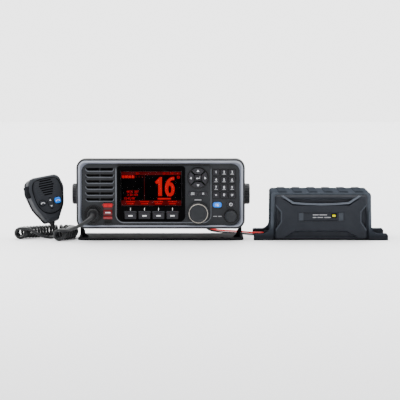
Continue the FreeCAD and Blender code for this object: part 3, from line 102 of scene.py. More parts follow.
class Finish:
    """A material in the making, read from the piece's own coordinates."""

    def __init__(self, name):
        self.material = bpy.data.materials.new(name)
        self.material.use_nodes = True
        self.tree = self.material.node_tree
        self.tree.nodes.clear()
        self.spot = self.node("TexCoord").of("Object")
        split = self.node("SeparateXYZ", {}, {0: self.spot})
        self.x, self.y, self.z = split.of("X"), split.of("Y"), split.of("Z")

    def node(self, kind, settings=None, values=None):
        """Add a node; its settings come first, then the values or links of its sockets."""
        made = self.tree.nodes.new("ShaderNode" + kind)
        for name, value in (settings or {}).items():
            setattr(made, name, value)
        for key, value in (values or {}).items():
            if isinstance(value, Signal):
                self.tree.links.new(value.socket, made.inputs[key])
            else:
                made.inputs[key].default_value = value
        return Signal(self, made.outputs[0]) if made.outputs else made

    def noise(self, size, detail=2):
        """Noise whose features are about that many millimetres across."""
        return self.node("TexNoise", {}, {"Vector": self.spot, "Scale": 1 / (size * MM),
                                          "Detail": detail})

    def shade(self, factor, low, high):
        """A colour between two colours, low at 0 and high at 1."""
        mixed = self.node("Mix", {"data_type": "RGBA"}, {0: factor, 6: low, 7: high})
        return Signal(self, mixed.socket.node.outputs[2])

    def close(self, varying, fixed=None, height=None, strength=0.2, depth=0.1):
        """Join everything in one surface shader and give the material."""
        values = dict(fixed or {})
        values.update(varying)
        if height is not None:
            values["Normal"] = self.node("Bump", {}, {"Strength": strength,
                                                      "Distance": depth * MM, "Height": height})
        surface = self.node("BsdfPrincipled", {}, values)
        self.node("OutputMaterial", {}, {"Surface": surface})
        return self.material


def tone(red, green, blue):
    """Screen colour, 0 to 255, as light."""
    parts = []
    for value in (red, green, blue):
        share = value / 255
        parts.append(share / 12.92 if share <= 0.04045 else ((share + 0.055) / 1.055) ** 2.4)
    return (*parts, 1.0)


def between(value, low, high, soft):
    """1 where a coordinate lies between two places in millimetres, with soft edges."""
    return (value.eased((low - soft) * MM, (low + soft) * MM)
            * (1 - value.eased((high - soft) * MM, (high + soft) * MM)))


def depth_inside(finish, left, right, low, high, corner):
    """How far a point of the face lies inside a rounded rectangle, in metres; below 0 outside."""
    across = abs(finish.x - (left + right) / 2 * MM) + (corner - (right - left) / 2) * MM
    up = abs(finish.z - (low + high) / 2 * MM) + (corner - (high - low) / 2) * MM
    out_across, out_up = across.maths("MAXIMUM", across, 0.0), up.maths("MAXIMUM", up, 0.0)
    beyond = (out_across * out_across + out_up * out_up).root()
    within = across.maths("MINIMUM", across.maths("MAXIMUM", across, up), 0.0)
    return corner * MM - beyond - within


def moulded(name, colour, rough, grain=0.5, strength=0.25, depth=0.06, metal=0.0, coat=0.0,
            paint=None, gloss=0.3):
    """Moulded or coated surface: fine grain, faint mottling, and gloss that varies over it.

    The grain's size and the bump's depth are millimetres.
    """
    finish = Finish(name)
    mottle = finish.noise(26, 3).eased(0.3, 0.7)
    fine = finish.noise(grain, 2)
    smudge = finish.noise(9, 4).eased(0.35, 0.75)
    low = tuple(c * 0.88 for c in colour[:3]) + (1.0,)
    high = tuple(min(1.0, c * 1.12 + 0.001) for c in colour[:3]) + (1.0,)
    tint = finish.shade(mottle * 0.6 + fine * 0.4, low, high)
    if paint is not None:
        tint = paint(finish, tint)
    return finish.close({"Base Color": tint,
                         "Roughness": smudge * 0.10 + fine * 0.06 + (rough - 0.08)},
                        {"Metallic": metal, "Coat Weight": coat, "Coat Roughness": 0.08,
                         "Specular IOR Level": gloss},
                        fine, strength, depth)


def glowing(name, colour, power):
    """Lit segment of the screen or a lamp, with a fine pixel texture."""
    finish = Finish(name)
    pixel = finish.noise(0.35, 1)
    tint = finish.shade(pixel, tuple(c * 0.8 for c in colour[:3]) + (1.0,), colour)
    return finish.close({"Emission Color": tint, "Roughness": 0.5 + pixel * 0.1},
                        {"Base Color": (*(c * 0.25 for c in colour[:3]), 1.0),
                         "Emission Strength": power, "Specular IOR Level": 0.1})


# Paints: a finish that changes over its piece. The places that they ease between are metres.
# Rounded rectangles of the front, in millimetres: left, right, low, high and corner radius
ISLAND_EDGE = (-71.6, 81, 30, 134, 12)
RIM_EDGE = (-137, 137, 19, 133, 15)
# Middle of the microphone plug, and how far the painted shade of its seat reaches, in metres
PLUG_X, PLUG_Z, SEAT_REACH, SEAT_END = -0.1092, 0.0429, 0.0149, 0.0158


def bezel_paint(finish, tint):
    """Painted highlight on the island's edge, painted shade in the wells and round the plug, black
    skirt.
    """
    depth = depth_inside(finish, *ISLAND_EDGE)
    # Painted highlight: a light band just outside the island's outline, stronger to the left
    edge = depth.eased(-0.0018, -0.0012) * (1 - depth.eased(-0.0004, 0.0002))
    left = 1 - finish.x.eased(0.0, 0.085)
    front = 1 - finish.y.eased(-0.0572, -0.0568)
    fade = 1 - finish.z.eased(0.114, 0.120)
    lit = finish.shade(edge * front * fade * (left * 0.4 + 0.5), tint, tone(124, 129, 136))
    # Painted shade: recessed faces and the floors of the island's wells go near black
    recess_shade = (1 - front) + front * depth.eased(0.001, 0.0016) * finish.y.eased(-0.0598, -0.0594)
    outer = 1 - depth_inside(finish, *RIM_EDGE).eased(0.0022, 0.0034)
    from_plug = ((finish.x - PLUG_X) * (finish.x - PLUG_X)
                 + (finish.z - PLUG_Z) * (finish.z - PLUG_Z))
    # Painted shade over the plug's seat
    seat = 1 - from_plug.eased(SEAT_REACH ** 2, SEAT_END ** 2)
    recess_shade = recess_shade + (1 - recess_shade) * seat * 0.85
    dark = finish.shade(recess_shade, lit, tone(10, 10, 11))
    return finish.shade(outer, dark, tone(14, 15, 16))


def rim_paint(finish, tint):
    """Satin rim: black outer bevel, painted ridge highlight, duller inner slope, painted light at
    top.
    """
    # Painted light: the rim grows lighter towards the top
    painted_top_light = finish.z.eased(0.02, 0.128)
    flat = finish.shade(painted_top_light, tone(92, 96, 106), tone(104, 108, 119))
    depth = depth_inside(finish, *RIM_EDGE)
    # Painted highlight along the ridge
    ridge = depth.eased(0.0030, 0.0036) * (1 - depth.eased(0.0056, 0.0064))
    bright = finish.shade(painted_top_light, tone(124, 128, 139), tint)
    ridged = finish.shade(ridge, flat, bright)
    return finish.shade(1 - depth.eased(0.0028, 0.0034), ridged, tone(24, 25, 28))


def box_paint(finish, tint):
    """Power box: painted shade on the feet, base and rib tops, and painted light on the front
    frame.
    """
    # Painted light on the front frame
    front_frame_light = (1 - finish.y.eased(-0.0494, -0.0486)) * finish.z.eased(0.014, 0.03)
    # Painted shade on the tops of the ribs
    top = finish.z.eased(0.0788, 0.0796) * finish.y.eased(-0.0490, -0.0480)
    tint = finish.shade(top * 0.8, tint, tone(20, 22, 25))
    framed = finish.shade(front_frame_light * 0.55, tint, tone(84, 90, 98))
    # Painted shade on the feet and base, towards the floor
    return finish.shade((1 - finish.z.eased(0.004, 0.016)) * 0.75, framed, tone(30, 31, 34))


def cover_paint(finish, tint):
    """Moulded distress cover: painted highlights on each lobe and its lower lip, and painted shade
    bands.
    """
    # Painted shade: two dark bands across the cover
    shade_bands = between(finish.z, 50.4, 54.2, 0.5) + between(finish.z, 40.6, 42.4, 0.5)
    parting = between(finish.x, -86.3, -84.8, 0.5)
    # Painted highlight on the top, split in two at the parting
    lobe_highlights = finish.z.eased(0.0545, 0.0560) * (0.55 + 0.45 * (1 - parting))
    # Painted highlight along the lower lip
    lip = between(finish.z, 36.6, 38.2, 0.4)
    dark = finish.shade(shade_bands * 0.85, tint, tone(34, 3, 6))
    lobed = finish.shade(lobe_highlights * 0.7, dark, tone(196, 34, 40))
    return finish.shade(lip * 0.6, lobed, tone(180, 84, 88))


# Each with its name, colour, roughness, grain, and strength and depth of the bump
finishes = {
    "bezel": moulded("bezel plastic", tone(24, 27, 31), 0.5, 0.6, 0.22, 0.05, paint=bezel_paint),
    "rim": moulded("satin rim", tone(148, 152, 163), 0.4, 0.25, 0.12, 0.02, metal=0.35,
                   paint=rim_paint),
    "screen": moulded("screen glass", tone(1, 1, 1), 0.6, 0.5, 0.05, 0.01, gloss=0.02),
    # Painted highlights: lighter bands for the lit lips of the louvres and of the box's scoops
    "lip": moulded("louvre lip highlight", tone(80, 84, 90), 0.4, 0.5, 0.15, 0.02),
    "box lip": moulded("lit scoop lip", tone(74, 80, 89), 0.45, 0.5, 0.15, 0.02),
    "window end": moulded("window end", tone(44, 50, 58), 0.45, 0.5, 0.15, 0.02),
    "paper": moulded("speaker paper", tone(38, 37, 36), 0.85, 1.2, 0.6, 0.2),
    "board": moulded("circuit board", tone(24, 84, 52), 0.45, 1.5, 0.3, 0.05),
    "case": moulded("powder coat", tone(38, 39, 42), 0.55, 0.45, 0.5, 0.08, metal=0.1),
    "rubber": moulded("seal rubber", tone(26, 26, 27), 0.7, 0.8, 0.3, 0.05),
    "socket": moulded("socket plastic", tone(20, 21, 23), 0.4, 0.5, 0.15, 0.03, gloss=0.2),
    "nickel": moulded("nickel plate", tone(196, 194, 188), 0.25, 0.3, 0.08, 0.01, metal=1.0),
    "key": moulded("key plastic", tone(30, 30, 35), 0.5, 0.35, 0.18, 0.03),
    "blue": moulded("blue key", tone(0, 126, 250), 0.34, 0.4, 0.08, 0.02),
    "red": moulded("red key", tone(180, 24, 32), 0.32, 0.4, 0.1, 0.02, coat=0.3),
    "cover": moulded("red cover", tone(98, 4, 9), 0.36, 0.4, 0.1, 0.02, coat=0.15,
                     paint=cover_paint),
    "dial": moulded("dial plastic", tone(26, 29, 33), 0.5, 0.4, 0.25, 0.04),
    "bracket": moulded("bracket coat", tone(24, 24, 27), 0.75, 0.5, 0.4, 0.06, gloss=0.01),
    "knob": moulded("knob nylon", tone(35, 36, 39), 0.52, 0.5, 0.3, 0.05),
    "mic": moulded("microphone plastic", tone(46, 48, 52), 0.5, 0.45, 0.3, 0.05, gloss=0.06),
    "mic back": moulded("microphone back", tone(30, 31, 34), 0.6, 0.45, 0.3, 0.05, gloss=0.0),
    "boot": moulded("boot rubber", tone(28, 29, 31), 0.6, 0.6, 0.25, 0.04),
    "box": moulded("slate coat", tone(43, 47, 53), 0.7, 0.45, 0.35, 0.06, gloss=0.0,
                   paint=box_paint),
    "box cover": moulded("slate cover", tone(34, 37, 43), 0.55, 0.45, 0.3, 0.05, gloss=0.15),
    "cord": moulded("cord rubber", tone(24, 25, 27), 0.4, 0.7, 0.2, 0.04),
    "red wire": moulded("red wire", tone(214, 22, 22), 0.4, 0.7, 0.1, 0.02),
    "black wire": moulded("black wire", tone(26, 26, 28), 0.4, 0.7, 0.1, 0.02),
    "print": moulded("pale print", tone(206, 208, 212), 0.55, 0.3, 0.05, 0.01),
    "faint print": moulded("faint print", tone(150, 151, 154), 0.55, 0.3, 0.05, 0.01),
    "white print": moulded("white print", tone(240, 241, 243), 0.5, 0.3, 0.05, 0.01),
    "brow": moulded("soft key brow", tone(72, 75, 80), 0.5, 0.3, 0.05, 0.01),
    # Painted shade: sheets that stand for the shade in grooves, slots and wells
    "groove shade": moulded("groove shade", tone(36, 38, 42), 0.6, 0.4, 0.1, 0.02),
    "shadow": moulded("shadow groove", tone(4, 4, 5), 0.8, 0.4, 0.1, 0.02, gloss=0.0),
    "chrome": moulded("dial ring", tone(176, 170, 160), 0.3, 0.3, 0.05, 0.01, metal=0.8),
    "lit": glowing("lit segment", (1.0, 0.0, 0.002, 1.0), 0.7),
    "dim": glowing("dim segment", (0.10, 0.0, 0.001, 1.0), 1.0),
    "glow": glowing("label segment", (0.60, 0.001, 0.001, 1.0), 1.0),
    "lamp": glowing("pilot lamp", (0.85, 0.80, 0.01, 1.0), 1.0),
}


def window_glass():
    """Smoked lens: black border, and a window that lets the screen through."""
    finish = Finish("smoked lens")
    window = between(finish.x, -65.5, 35.2, 0.6) * between(finish.z, 56, 113.4, 0.6)
    haze = finish.noise(30, 3)
    tint = finish.shade(haze, tone(1, 1, 1), tone(3, 3, 4))
    return finish.close({"Base Color": tint, "Roughness": 0.42 + haze * 0.05,
                         "Alpha": 1 - window * 0.82},
                        {"Specular IOR Level": 0.03})


finishes["lens"] = window_glass()

# The nodes that wear each finish; all the others wear key plastic
WORN_BY = {
    "bezel": ["front_panel"], "rim": ["rim_trim"], "lens": ["display_lens"],
    "screen": ["display_screen"], "paper": ["speaker_driver"], "board": ["main_board"],
    "case": ["rear_case"], "rubber": ["case_gasket"],
    "socket": ["mic_socket", "mic_plug", "power_gland"],
    "nickel": ["antenna_socket", "dial_shaft", "mic_hanger_stud"],
    "blue": ["channel_key", "mic_channel_key"],
    "red": ["distress_button"], "cover": ["distress_cover"],
    "dial": ["selector_dial", "volume_knob"],
    "bracket": ["bracket"], "knob": ["left_clamp_knob", "right_clamp_knob"],
    "mic": ["mic_front_case", "mic_hangup_key", "mic_rocker"],
    "mic back": ["mic_rear_case", "ptt_key"], "boot": ["mic_strain_relief"],
    "box": ["psu_case"], "box cover": ["psu_front_cover"], "lamp": ["psu_indicator"],
    "cord": ["mic_cord_coil", "mic_cord_radio_tail", "mic_cord_mic_tail", "power_cable"],
}


def wear(made, finish):
    """Give a piece one finish."""
    if made.data.materials:
        made.data.materials[0] = finishes[finish]
    else:
        made.data.materials.append(finishes[finish])


for node in nodes.values():
    wear(node, "key")
for finish, names in WORN_BY.items():
    for name in names:
        wear(nodes[name], finish)


# Making pieces

PRINT = 0.08  # Thickness of a print, in millimetres


def stood(name, data):
    """Stand a mesh, a curve, a lamp or a camera in the scene as an object at the origin."""
    made = bpy.data.objects.new(name, data)
    bpy.context.scene.collection.objects.link(made)
    return made


def grown(holder):
    """The finished shape of an object with a curve, text or modifier, as a plain mesh."""
    return bpy.data.meshes.new_from_object(holder.evaluated_get(
        bpy.context.evaluated_depsgraph_get()))


def smooth_line(spots, resolution, closed=False):
    """A smooth curve, standing in the scene, with spots in metres as its control points."""
    line = bpy.data.curves.new("line", "CURVE")
    line.dimensions = "3D"
    spline = line.splines.new("NURBS")
    spline.points.add(len(spots) - 1)
    for control, spot in zip(spline.points, spots):
        control.co = (*spot, 1)
    spline.order_u = 3
    spline.use_cyclic_u = closed
    spline.use_endpoint_u = not closed
    line.resolution_u = resolution
    return stood("line", line)


def piece(name, mesh, body, finish):
    """Stand a finished mesh in the scene, on the body that carries it."""
    made = stood(name, mesh)
    wear(made, finish)
    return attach(made, body)


def prisms(outlines, front, thick=PRINT, turn=None):
    """Thin plates: outlines of x and z in millimetres, on a plane that faces the front."""
    build = bmesh.new()
    for outline in outlines:
        near = [build.verts.new((x * MM, (front - thick) * MM, z * MM)) for x, z in outline]
        far = [build.verts.new((x * MM, front * MM, z * MM)) for x, z in outline]
        build.faces.new(near)
        build.faces.new(far[::-1])
        for i in range(len(near)):
            k = (i + 1) % len(near)
            build.faces.new((near[k], near[i], far[i], far[k]))
    bmesh.ops.recalc_face_normals(build, faces=build.faces)
    if turn is not None:
        build.transform(turn)
    mesh = bpy.data.meshes.new("print")
    build.to_mesh(mesh)
    build.free()
    return mesh


def box_outline(across, up, wide, tall):
    """A rectangle about its middle."""
    return [(across - wide / 2, up - tall / 2), (across + wide / 2, up - tall / 2),
            (across + wide / 2, up + tall / 2), (across - wide / 2, up + tall / 2)]


def bent_band(across, up, outer, inner, start, end, steps=20):
    """A band between two arcs of ellipses about one centre."""
    spots = []
    for (wide, tall), order in ((outer, 1), (inner, -1)):
        for k in range(steps + 1)[::order]:
            angle = math.radians(start + (end - start) * k / steps)
            spots.append((across + wide * math.cos(angle), up + tall * math.sin(angle)))
    return spots


def ring_outline(across, up, outer, inner, start, end, steps=28):
    """A band of a circle, drawn as one closed outline."""
    return bent_band(across, up, (outer, outer), (inner, inner), start, end, steps)


def figures(text, across, up, tall, front, heavy=0.0):
    """Figures as a mesh as thin as a print, centred, of a given height in millimetres."""
    words = bpy.data.curves.new("figures", "FONT")
    words.body = text
    words.resolution_u = 3
    words.offset = heavy
    words.extrude = 0.02
    holder = stood("figures", words)
    mesh = grown(holder)
    bpy.data.objects.remove(holder)
    bpy.data.curves.remove(words)
    mesh.transform(Matrix.Rotation(math.radians(90), 4, "X"))
    low = [min(v.co[k] for v in mesh.vertices) for k in range(3)]
    high = [max(v.co[k] for v in mesh.vertices) for k in range(3)]
    scale = tall * MM / (high[2] - low[2])
    mesh.transform(Matrix.Diagonal((scale, PRINT * MM / (high[1] - low[1]), scale, 1)))
    mesh.transform(Matrix.Translation((
        across * MM - scale * (low[0] + high[0]) / 2, (front - PRINT / 2) * MM,
        up * MM - scale * (low[2] + high[2]) / 2)))
    return mesh


def row_of(mesh, count, step, finish):
    """Geometry Nodes row: a small mesh repeated along a step in millimetres, as a plain mesh."""
    tree = bpy.data.node_groups.new("row", "GeometryNodeTree")
    face = tree.interface
    for label, kind in (("Shape", "NodeSocketGeometry"), ("Count", "NodeSocketInt"),
                        ("Step", "NodeSocketVector"), ("Finish", "NodeSocketMaterial")):
        face.new_socket(label, in_out="INPUT", socket_type=kind)
    face.new_socket("Row", in_out="OUTPUT", socket_type="NodeSocketGeometry")
    add = tree.nodes.new
    given, result = add("NodeGroupInput"), add("NodeGroupOutput")
    line, spread = add("GeometryNodeMeshLine"), add("GeometryNodeInstanceOnPoints")
    real, dress = add("GeometryNodeRealizeInstances"), add("GeometryNodeSetMaterial")
    for source, target in (
            (given.outputs["Count"], line.inputs["Count"]),
            (given.outputs["Step"], line.inputs["Offset"]),
            (line.outputs["Mesh"], spread.inputs["Points"]),
            (given.outputs["Shape"], spread.inputs["Instance"]),
            (spread.outputs["Instances"], real.inputs["Geometry"]),
            (real.outputs["Geometry"], dress.inputs["Geometry"]),
            (given.outputs["Finish"], dress.inputs["Material"]),
            (dress.outputs["Geometry"], result.inputs["Row"])):
        tree.links.new(source, target)
    mesh.materials.append(finishes[finish])
    holder = stood("row", mesh)
    grower = holder.modifiers.new("row", "NODES")
    grower.node_group = tree
    wanted = {"Count": count, "Step": tuple(part * MM for part in step),
              "Finish": finishes[finish]}
    for item in face.items_tree:
        if item.name in wanted:
            grower[item.identifier] = wanted[item.name]
    made = grown(holder)
    bpy.data.objects.remove(holder)
    made.materials.clear()
    made.materials.append(finishes[finish])
    for polygon in made.polygons:
        polygon.material_index = 0
    return made


def front_of(node):
    """Plane of a node's front, in millimetres."""
    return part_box(node)[0].y / MM


def centre_of(node):
    """Middle of a node as seen from the front, in millimetres."""
    low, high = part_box(node)
    return (low.x + high.x) / 2 / MM, (low.z + high.z) / 2 / MM


# Lit screen, behind the lens

# Planes of the lit prints: on the screen, and on top of another print
LIT = front_of("display_screen")
OVER = LIT - PRINT
# The soft keys: middle of the first, and the step to the next
SOFT_KEY, SOFT_KEY_STEP = -48.9, (22.75, 0, 0)
screen_prints = {
    "screen_bands": ([box_outline(-15.2, 109.4, 97, 5.2), box_outline(-15.2, 61.4, 97, 8),
                      box_outline(-26.3, 86.2, 0.7, 41)], "dim"),
    "screen_bar": ([box_outline(6, 68.2, 21.4, 2.6)], "lit"),
    "screen_icon": ([ring_outline(29, 103.2, 2.3, 1.6, 0, 359), box_outline(29, 103.2, 1.1, 1.1)],
                    "lit"),
}
for name, (outlines, finish) in screen_prints.items():
    piece(name, prisms(outlines, LIT), "head", finish)

one = [(-1.4, 103.4), (-9.2, 95.3), (-6.1, 91.9), (-3.8, 93.6), (-3.8, 72.6), (2.2, 72.6),
       (2.2, 103.4)]
# Stem of the six: an outer arc, its foot, and an inner arc that stops sooner, of 21 spots each
STEM, STEM_SPOTS = (20.5, 86, (13.4, 17.7), (7.9, 12.7), 90), 21
six_stem = (bent_band(*STEM, 182)[:STEM_SPOTS] + [(7.4, 84), (12.6, 84)]
            + bent_band(*STEM, 176)[STEM_SPOTS:] + [(22.2, 98.4), (22.2, 103.5)])
piece("screen_channel", prisms([one, six_stem], LIT), "head", "lit")
bowl = bent_band(15, 83.4, (7.9, 11.5), (2.5, 6.3), 90, 449.9, 40)
piece("screen_channel_bowl", prisms([bowl], OVER), "head", "lit")
for name, text, across, up, tall in (
        ("screen_position_upper", "48 51 307", -45.5, 79.8, 3.4),
        ("screen_position_lower", "2 20 154", -45.5, 74.6, 3.4),
        ("screen_clock", "12:45 08", -50.6, 68.8, 3.6),
        ("screen_count", "25", -38, 109.3, 3.4),
        ("screen_power", "1", 29.6, 109.3, 3.4)):
    piece(name, figures(text, across, up, tall, OVER), "head", "lit")
piece("screen_date", figures("08 25 307 16", 16, 109.4, 3.3, OVER), "head", "glow")
meter_bar = box_outline(-60.7, 103.9, 4.4, 4.2)
meter_rest = ring_outline(-39.6, 103.9, 1.3, 0.6, 0, 359, 12)
piece("screen_meter", row_of(prisms([meter_bar], LIT), 4, (5.3, 0, 0), "lit"), "head", "lit")
piece("screen_meter_rest", row_of(prisms([meter_rest], LIT), 3, (4.9, 0, 0), "dim"), "head",
      "dim")
label_bars = [box_outline(SOFT_KEY, 63.4, 14.6, 1.7), box_outline(SOFT_KEY, 60, 11.4, 1.7)]
piece("screen_labels", row_of(prisms(label_bars, OVER), 4, SOFT_KEY_STEP, "glow"), "head",
      "glow")

# Prints on the lens, the keys and the face

# Planes of the glass, of the face and of the island about the glass and the dials
GLASS = front_of("display_lens")
FACE, ISLAND = -57.5, -60
tick = box_outline(SOFT_KEY, 51.3, 0.8, 4.2)
piece("soft_key_ticks", row_of(prisms([tick], GLASS), 4, SOFT_KEY_STEP, "white print"), "head",
      "white print")
brow = [(-59.2, 45.6), (-57.6, 47.2), (-40.2, 47.2), (-38.6, 45.6), (-38.6, 46.4), (-39.9, 47.8),
        (-57.9, 47.8), (-59.2, 46.4)]
piece("soft_key_brows", row_of(prisms([brow], GLASS), 4, SOFT_KEY_STEP, "brow"), "head", "brow")
# Painted highlights: a light band along the lower lip of each louvre, its ends curving up, six down
# the face
lip = [(-122.4, 117.4), (-121.6, 114.6), (-119.6, 112.7), (-117.6, 112.0), (-79.4, 112.0),
       (-77.2, 112.7), (-75.6, 114.6), (-74.9, 117.4), (-76.3, 117.2), (-77.0, 115.1),
       (-78.3, 113.9), (-80.0, 113.5), (-117.2, 113.5), (-118.9, 114.0), (-120.4, 115.3),
       (-121.1, 117.2)]
piece("louvre_lip_highlights", row_of(prisms([lip], FACE, 0.25), 6, (0, 0, -9.77), "lip"), "head", "lip")
for number in "1234":
    name = "soft_key_" + number
    dash = box_outline(centre_of(name)[0], 40.6, 6.8, 1.9)
    piece(name + "_dash", prisms([dash], front_of(name)), name, "white print")

signs = [("key_" + digit, digit, 0.6, 4.2) for digit in "1234567890"]
for name, sign, raised, tall in signs + [("key_star", "*", 0.4, 3.0), ("key_hash", "#", 0.4, 4.0)]:
    across, up = centre_of(name)
    piece(name + "_figure", figures(sign, across, up + raised, tall, front_of(name), heavy=0.01),
          name, "print")
for digit in "23456789":
    name = "key_" + digit
    across, up = centre_of(name)
    piece(name + "_bar", prisms([box_outline(across, up - 2.9, 5.2, 1.0)], front_of(name)), name,
          "faint print")
face_marks = [box_outline(88.6, 39.5, 6.4, 1.3), box_outline(96.4, 39.5, 5.6, 1.3)]
piece("face_marks", prisms(face_marks, FACE, 0.06), "head", "faint print")
piece("dial_mark", prisms([box_outline(60.8, 66.4, 11.4, 1.5)], ISLAND, 0.06), "head",
      "faint print")
across, up = centre_of("channel_key")
piece("channel_key_figure", figures("16", across, up, 4.4, front_of("channel_key"), heavy=0.02),
      "channel_key", "white print")
across, up = centre_of("power_key")
power_sign = [ring_outline(across, up, 2.6, 1.9, 125, 415), box_outline(across, up + 1.7, 0.7, 3.2)]
piece("power_key_sign", prisms(power_sign, front_of("power_key")), "power_key", "print")
across, up = centre_of("enter_key")
enter_sign = [(across + a, up + b) for a, b in (
    (3, 2), (2.2, 2), (2.2, -0.3), (-1.2, -0.3), (-1.2, 1), (-3.2, -0.75), (-1.2, -2.5),
    (-1.2, -1.2), (3, -1.2))]
piece("enter_key_sign", prisms([enter_sign], front_of("enter_key")), "enter_key", "print")

# Arrows of the pad: its middle, and how far out they stand
PAD_ACROSS, PAD_UP, ARROW_OUT = 60.8, 102.2, 11.6
for name, aim in (("right", 0), ("up", 90), ("left", 180), ("down", 270)):
    key = f"arrow_{name}_key"
    c, s = math.cos(math.radians(aim)), math.sin(math.radians(aim))
    spots = [(ARROW_OUT + a, b) for a, b in ((1.9, 0), (-1.2, 2.1), (-1.2, -2.1))]
    arrow = [(PAD_ACROSS + a * c - b * s, PAD_UP + a * s + b * c) for a, b in spots]
    piece(key + "_sign", prisms([arrow], front_of(key)), key, "print")
across, up = centre_of("menu_key")
menu_sign = [box_outline(across, up + line, 5.4, 0.6) for line in (-1.5, 0, 1.5)]
piece("menu_key_sign", prisms(menu_sign, front_of("menu_key")), "menu_key", "print")
across, up = centre_of("clear_key")
cross = []
for lean in (45, 135):
    c, s = math.cos(math.radians(lean)), math.sin(math.radians(lean))
    cross.append([(across + a * c - b * s, up + a * s + b * c)
                  for a, b in ((-2, -0.35), (2, -0.35), (2, 0.35), (-2, 0.35))])
piece("clear_key_sign", prisms(cross, front_of("clear_key")), "clear_key", "print")


def turned_ring(across, up, radius, thick, front, steps=72, sides=10):
    """A round bead lying on a plane that faces the front."""
    build = bmesh.new()
    loops = []
    for k in range(steps):
        angle = 2 * math.pi * k / steps
        loops.append([build.verts.new((
            (across + (radius + thick * math.cos(t)) * math.cos(angle)) * MM,
            (front - thick * math.sin(t)) * MM,
            (up + (radius + thick * math.cos(t)) * math.sin(angle)) * MM))
            for t in (2 * math.pi * j / sides for j in range(sides))])
    for k in range(steps):
        a, b = loops[k], loops[(k + 1) % steps]
        for j in range(sides):
            build.faces.new((a[j], a[(j + 1) % sides], b[(j + 1) % sides], b[j]))
    bmesh.ops.recalc_face_normals(build, faces=build.faces)
    for polygon in build.faces:
        polygon.smooth = True
    mesh = bpy.data.meshes.new("ring")
    build.to_mesh(mesh)
    build.free()
    return mesh


piece("dial_ring", turned_ring(61.3, 45.1, 15.0, 0.6, front_of("selector_dial") + 1.0),
      "selector_dial", "chrome")
piece("cover_mark", prisms([box_outline(-85.5, 46.1, 8.6, 1.7)], front_of("distress_cover")),
      "distress_cover", "print")

# The microphone leans: its own frame, across, back and up from the middle of its case
MIC = (Matrix.Translation(Vector((-191, 6, 63)) * MM) @ Matrix.Rotation(math.radians(24), 4, "Z")
       @ Matrix.Rotation(math.radians(-9), 4, "Y") @ Matrix.Rotation(math.radians(-14), 4, "X"))
# Planes of its face and of its keys
MIC_FACE, MIC_KEYS = -19.8, -20.8


def pill(across, up, long, tall, steps=6):
    """A bar with round ends."""
    half, straight = tall / 2, (long - tall) / 2
    spots = []
    for side, first in ((1, -90), (-1, 90)):
        for k in range(steps + 1):
            angle = math.radians(first + 180 * k / steps)
            spots.append((across + side * straight + half * math.cos(angle),
                          up + half * math.sin(angle)))
    return spots


def bead_round(name, corners, front, radius, body, finish):
    """A bead that runs round a closed, rounded outline of the microphone's face."""
    holder = smooth_line([(x * MM, front * MM, z * MM) for x, z in corners], 8, closed=True)
    holder.data.bevel_depth = radius * MM
    holder.data.bevel_resolution = 2
    mesh = grown(holder)
    bpy.data.objects.remove(holder)
    mesh.transform(MIC)
    for polygon in mesh.polygons:
        polygon.use_smooth = True
    return piece(name, mesh, body, finish)


# Speaker slots: height of the first, pitch, count, and how much shorter each is than the next
# towards the longest, which is the third
SLOT_TOP, SLOT_PITCH, SLOTS, SLOT_TAPER = 28, 3.85, 7, 1.6
slots, grooves = [], []
for i in range(SLOTS):
    up, shorter = SLOT_TOP - SLOT_PITCH * i, abs(i - 2) * SLOT_TAPER
    slots.append(pill(0, up, 1.9 * (14 - shorter), 2.0))
    grooves += [pill(side * (17.6 - shorter), up, 4.6, 1.2) for side in (-1, 1)]
# Painted shade: dark sheets on the microphone's face for the slots and the shallow grooves at their
# ends
piece("mic_slot_mouths", prisms(slots, MIC_FACE + 0.2, 0.25, MIC), "root", "shadow")
piece("mic_slot_grooves", prisms(grooves, MIC_FACE + 0.2, 0.24, MIC), "root", "groove shade")
panel = [(-17, 30.6), (0, 32), (17, 30.6), (23.2, 25), (25.4, 13), (24.2, 2), (22.6, -9),
         (17.4, -20), (7, -27), (-7, -27), (-17.4, -20), (-22.6, -9), (-24.2, 2), (-25.4, 13),
         (-23.2, 25)]
bead_round("mic_panel_groove", panel, MIC_FACE + 0.55, 0.6, "root", "shadow")
for name, across, up, wide, tall in (("mic_hangup_well", -13.3, -7.7, 6.5, 5.4),
                                     ("mic_call_well", 13.3, -7.7, 6.4, 6.1),
                                     ("mic_rocker_well", 0.5, -10.2, 5.4, 9.7)):
    ring = bent_band(across, up, (wide, tall), (wide - 1.1, tall - 1.1), 0, 359.9, 28)
    piece(name, prisms([ring], MIC_FACE, 0.12, MIC), "root", "shadow")
rocker_marks = [[(-1.3, -6.4), (2.3, -6.4), (0.5, -3.6)], [(-1.3, -14), (0.5, -16.8), (2.3, -14)]]
piece("mic_rocker_marks", prisms(rocker_marks, MIC_KEYS, turn=MIC), "mic_rocker", "print")


def handset(across, up):
    """Sign of a telephone handset: a bowed grip with two ends."""
    grip = bent_band(across, up - 2.2, (3.6, 3.4), (2.7, 2.3), 35, 145, 12)
    return [grip] + [box_outline(across + side, up - 0.6, 1.7, 1.5) for side in (-2.7, 2.7)]


piece("mic_hangup_sign", prisms(handset(-13.3, -7.9), MIC_KEYS, turn=MIC), "mic_hangup_key",
      "print")
piece("mic_call_sign", prisms(handset(13.3, -7.9), MIC_KEYS, turn=MIC), "mic_channel_key",
      "white print")

# Power box: lit lips of its scoops, window ends and marks

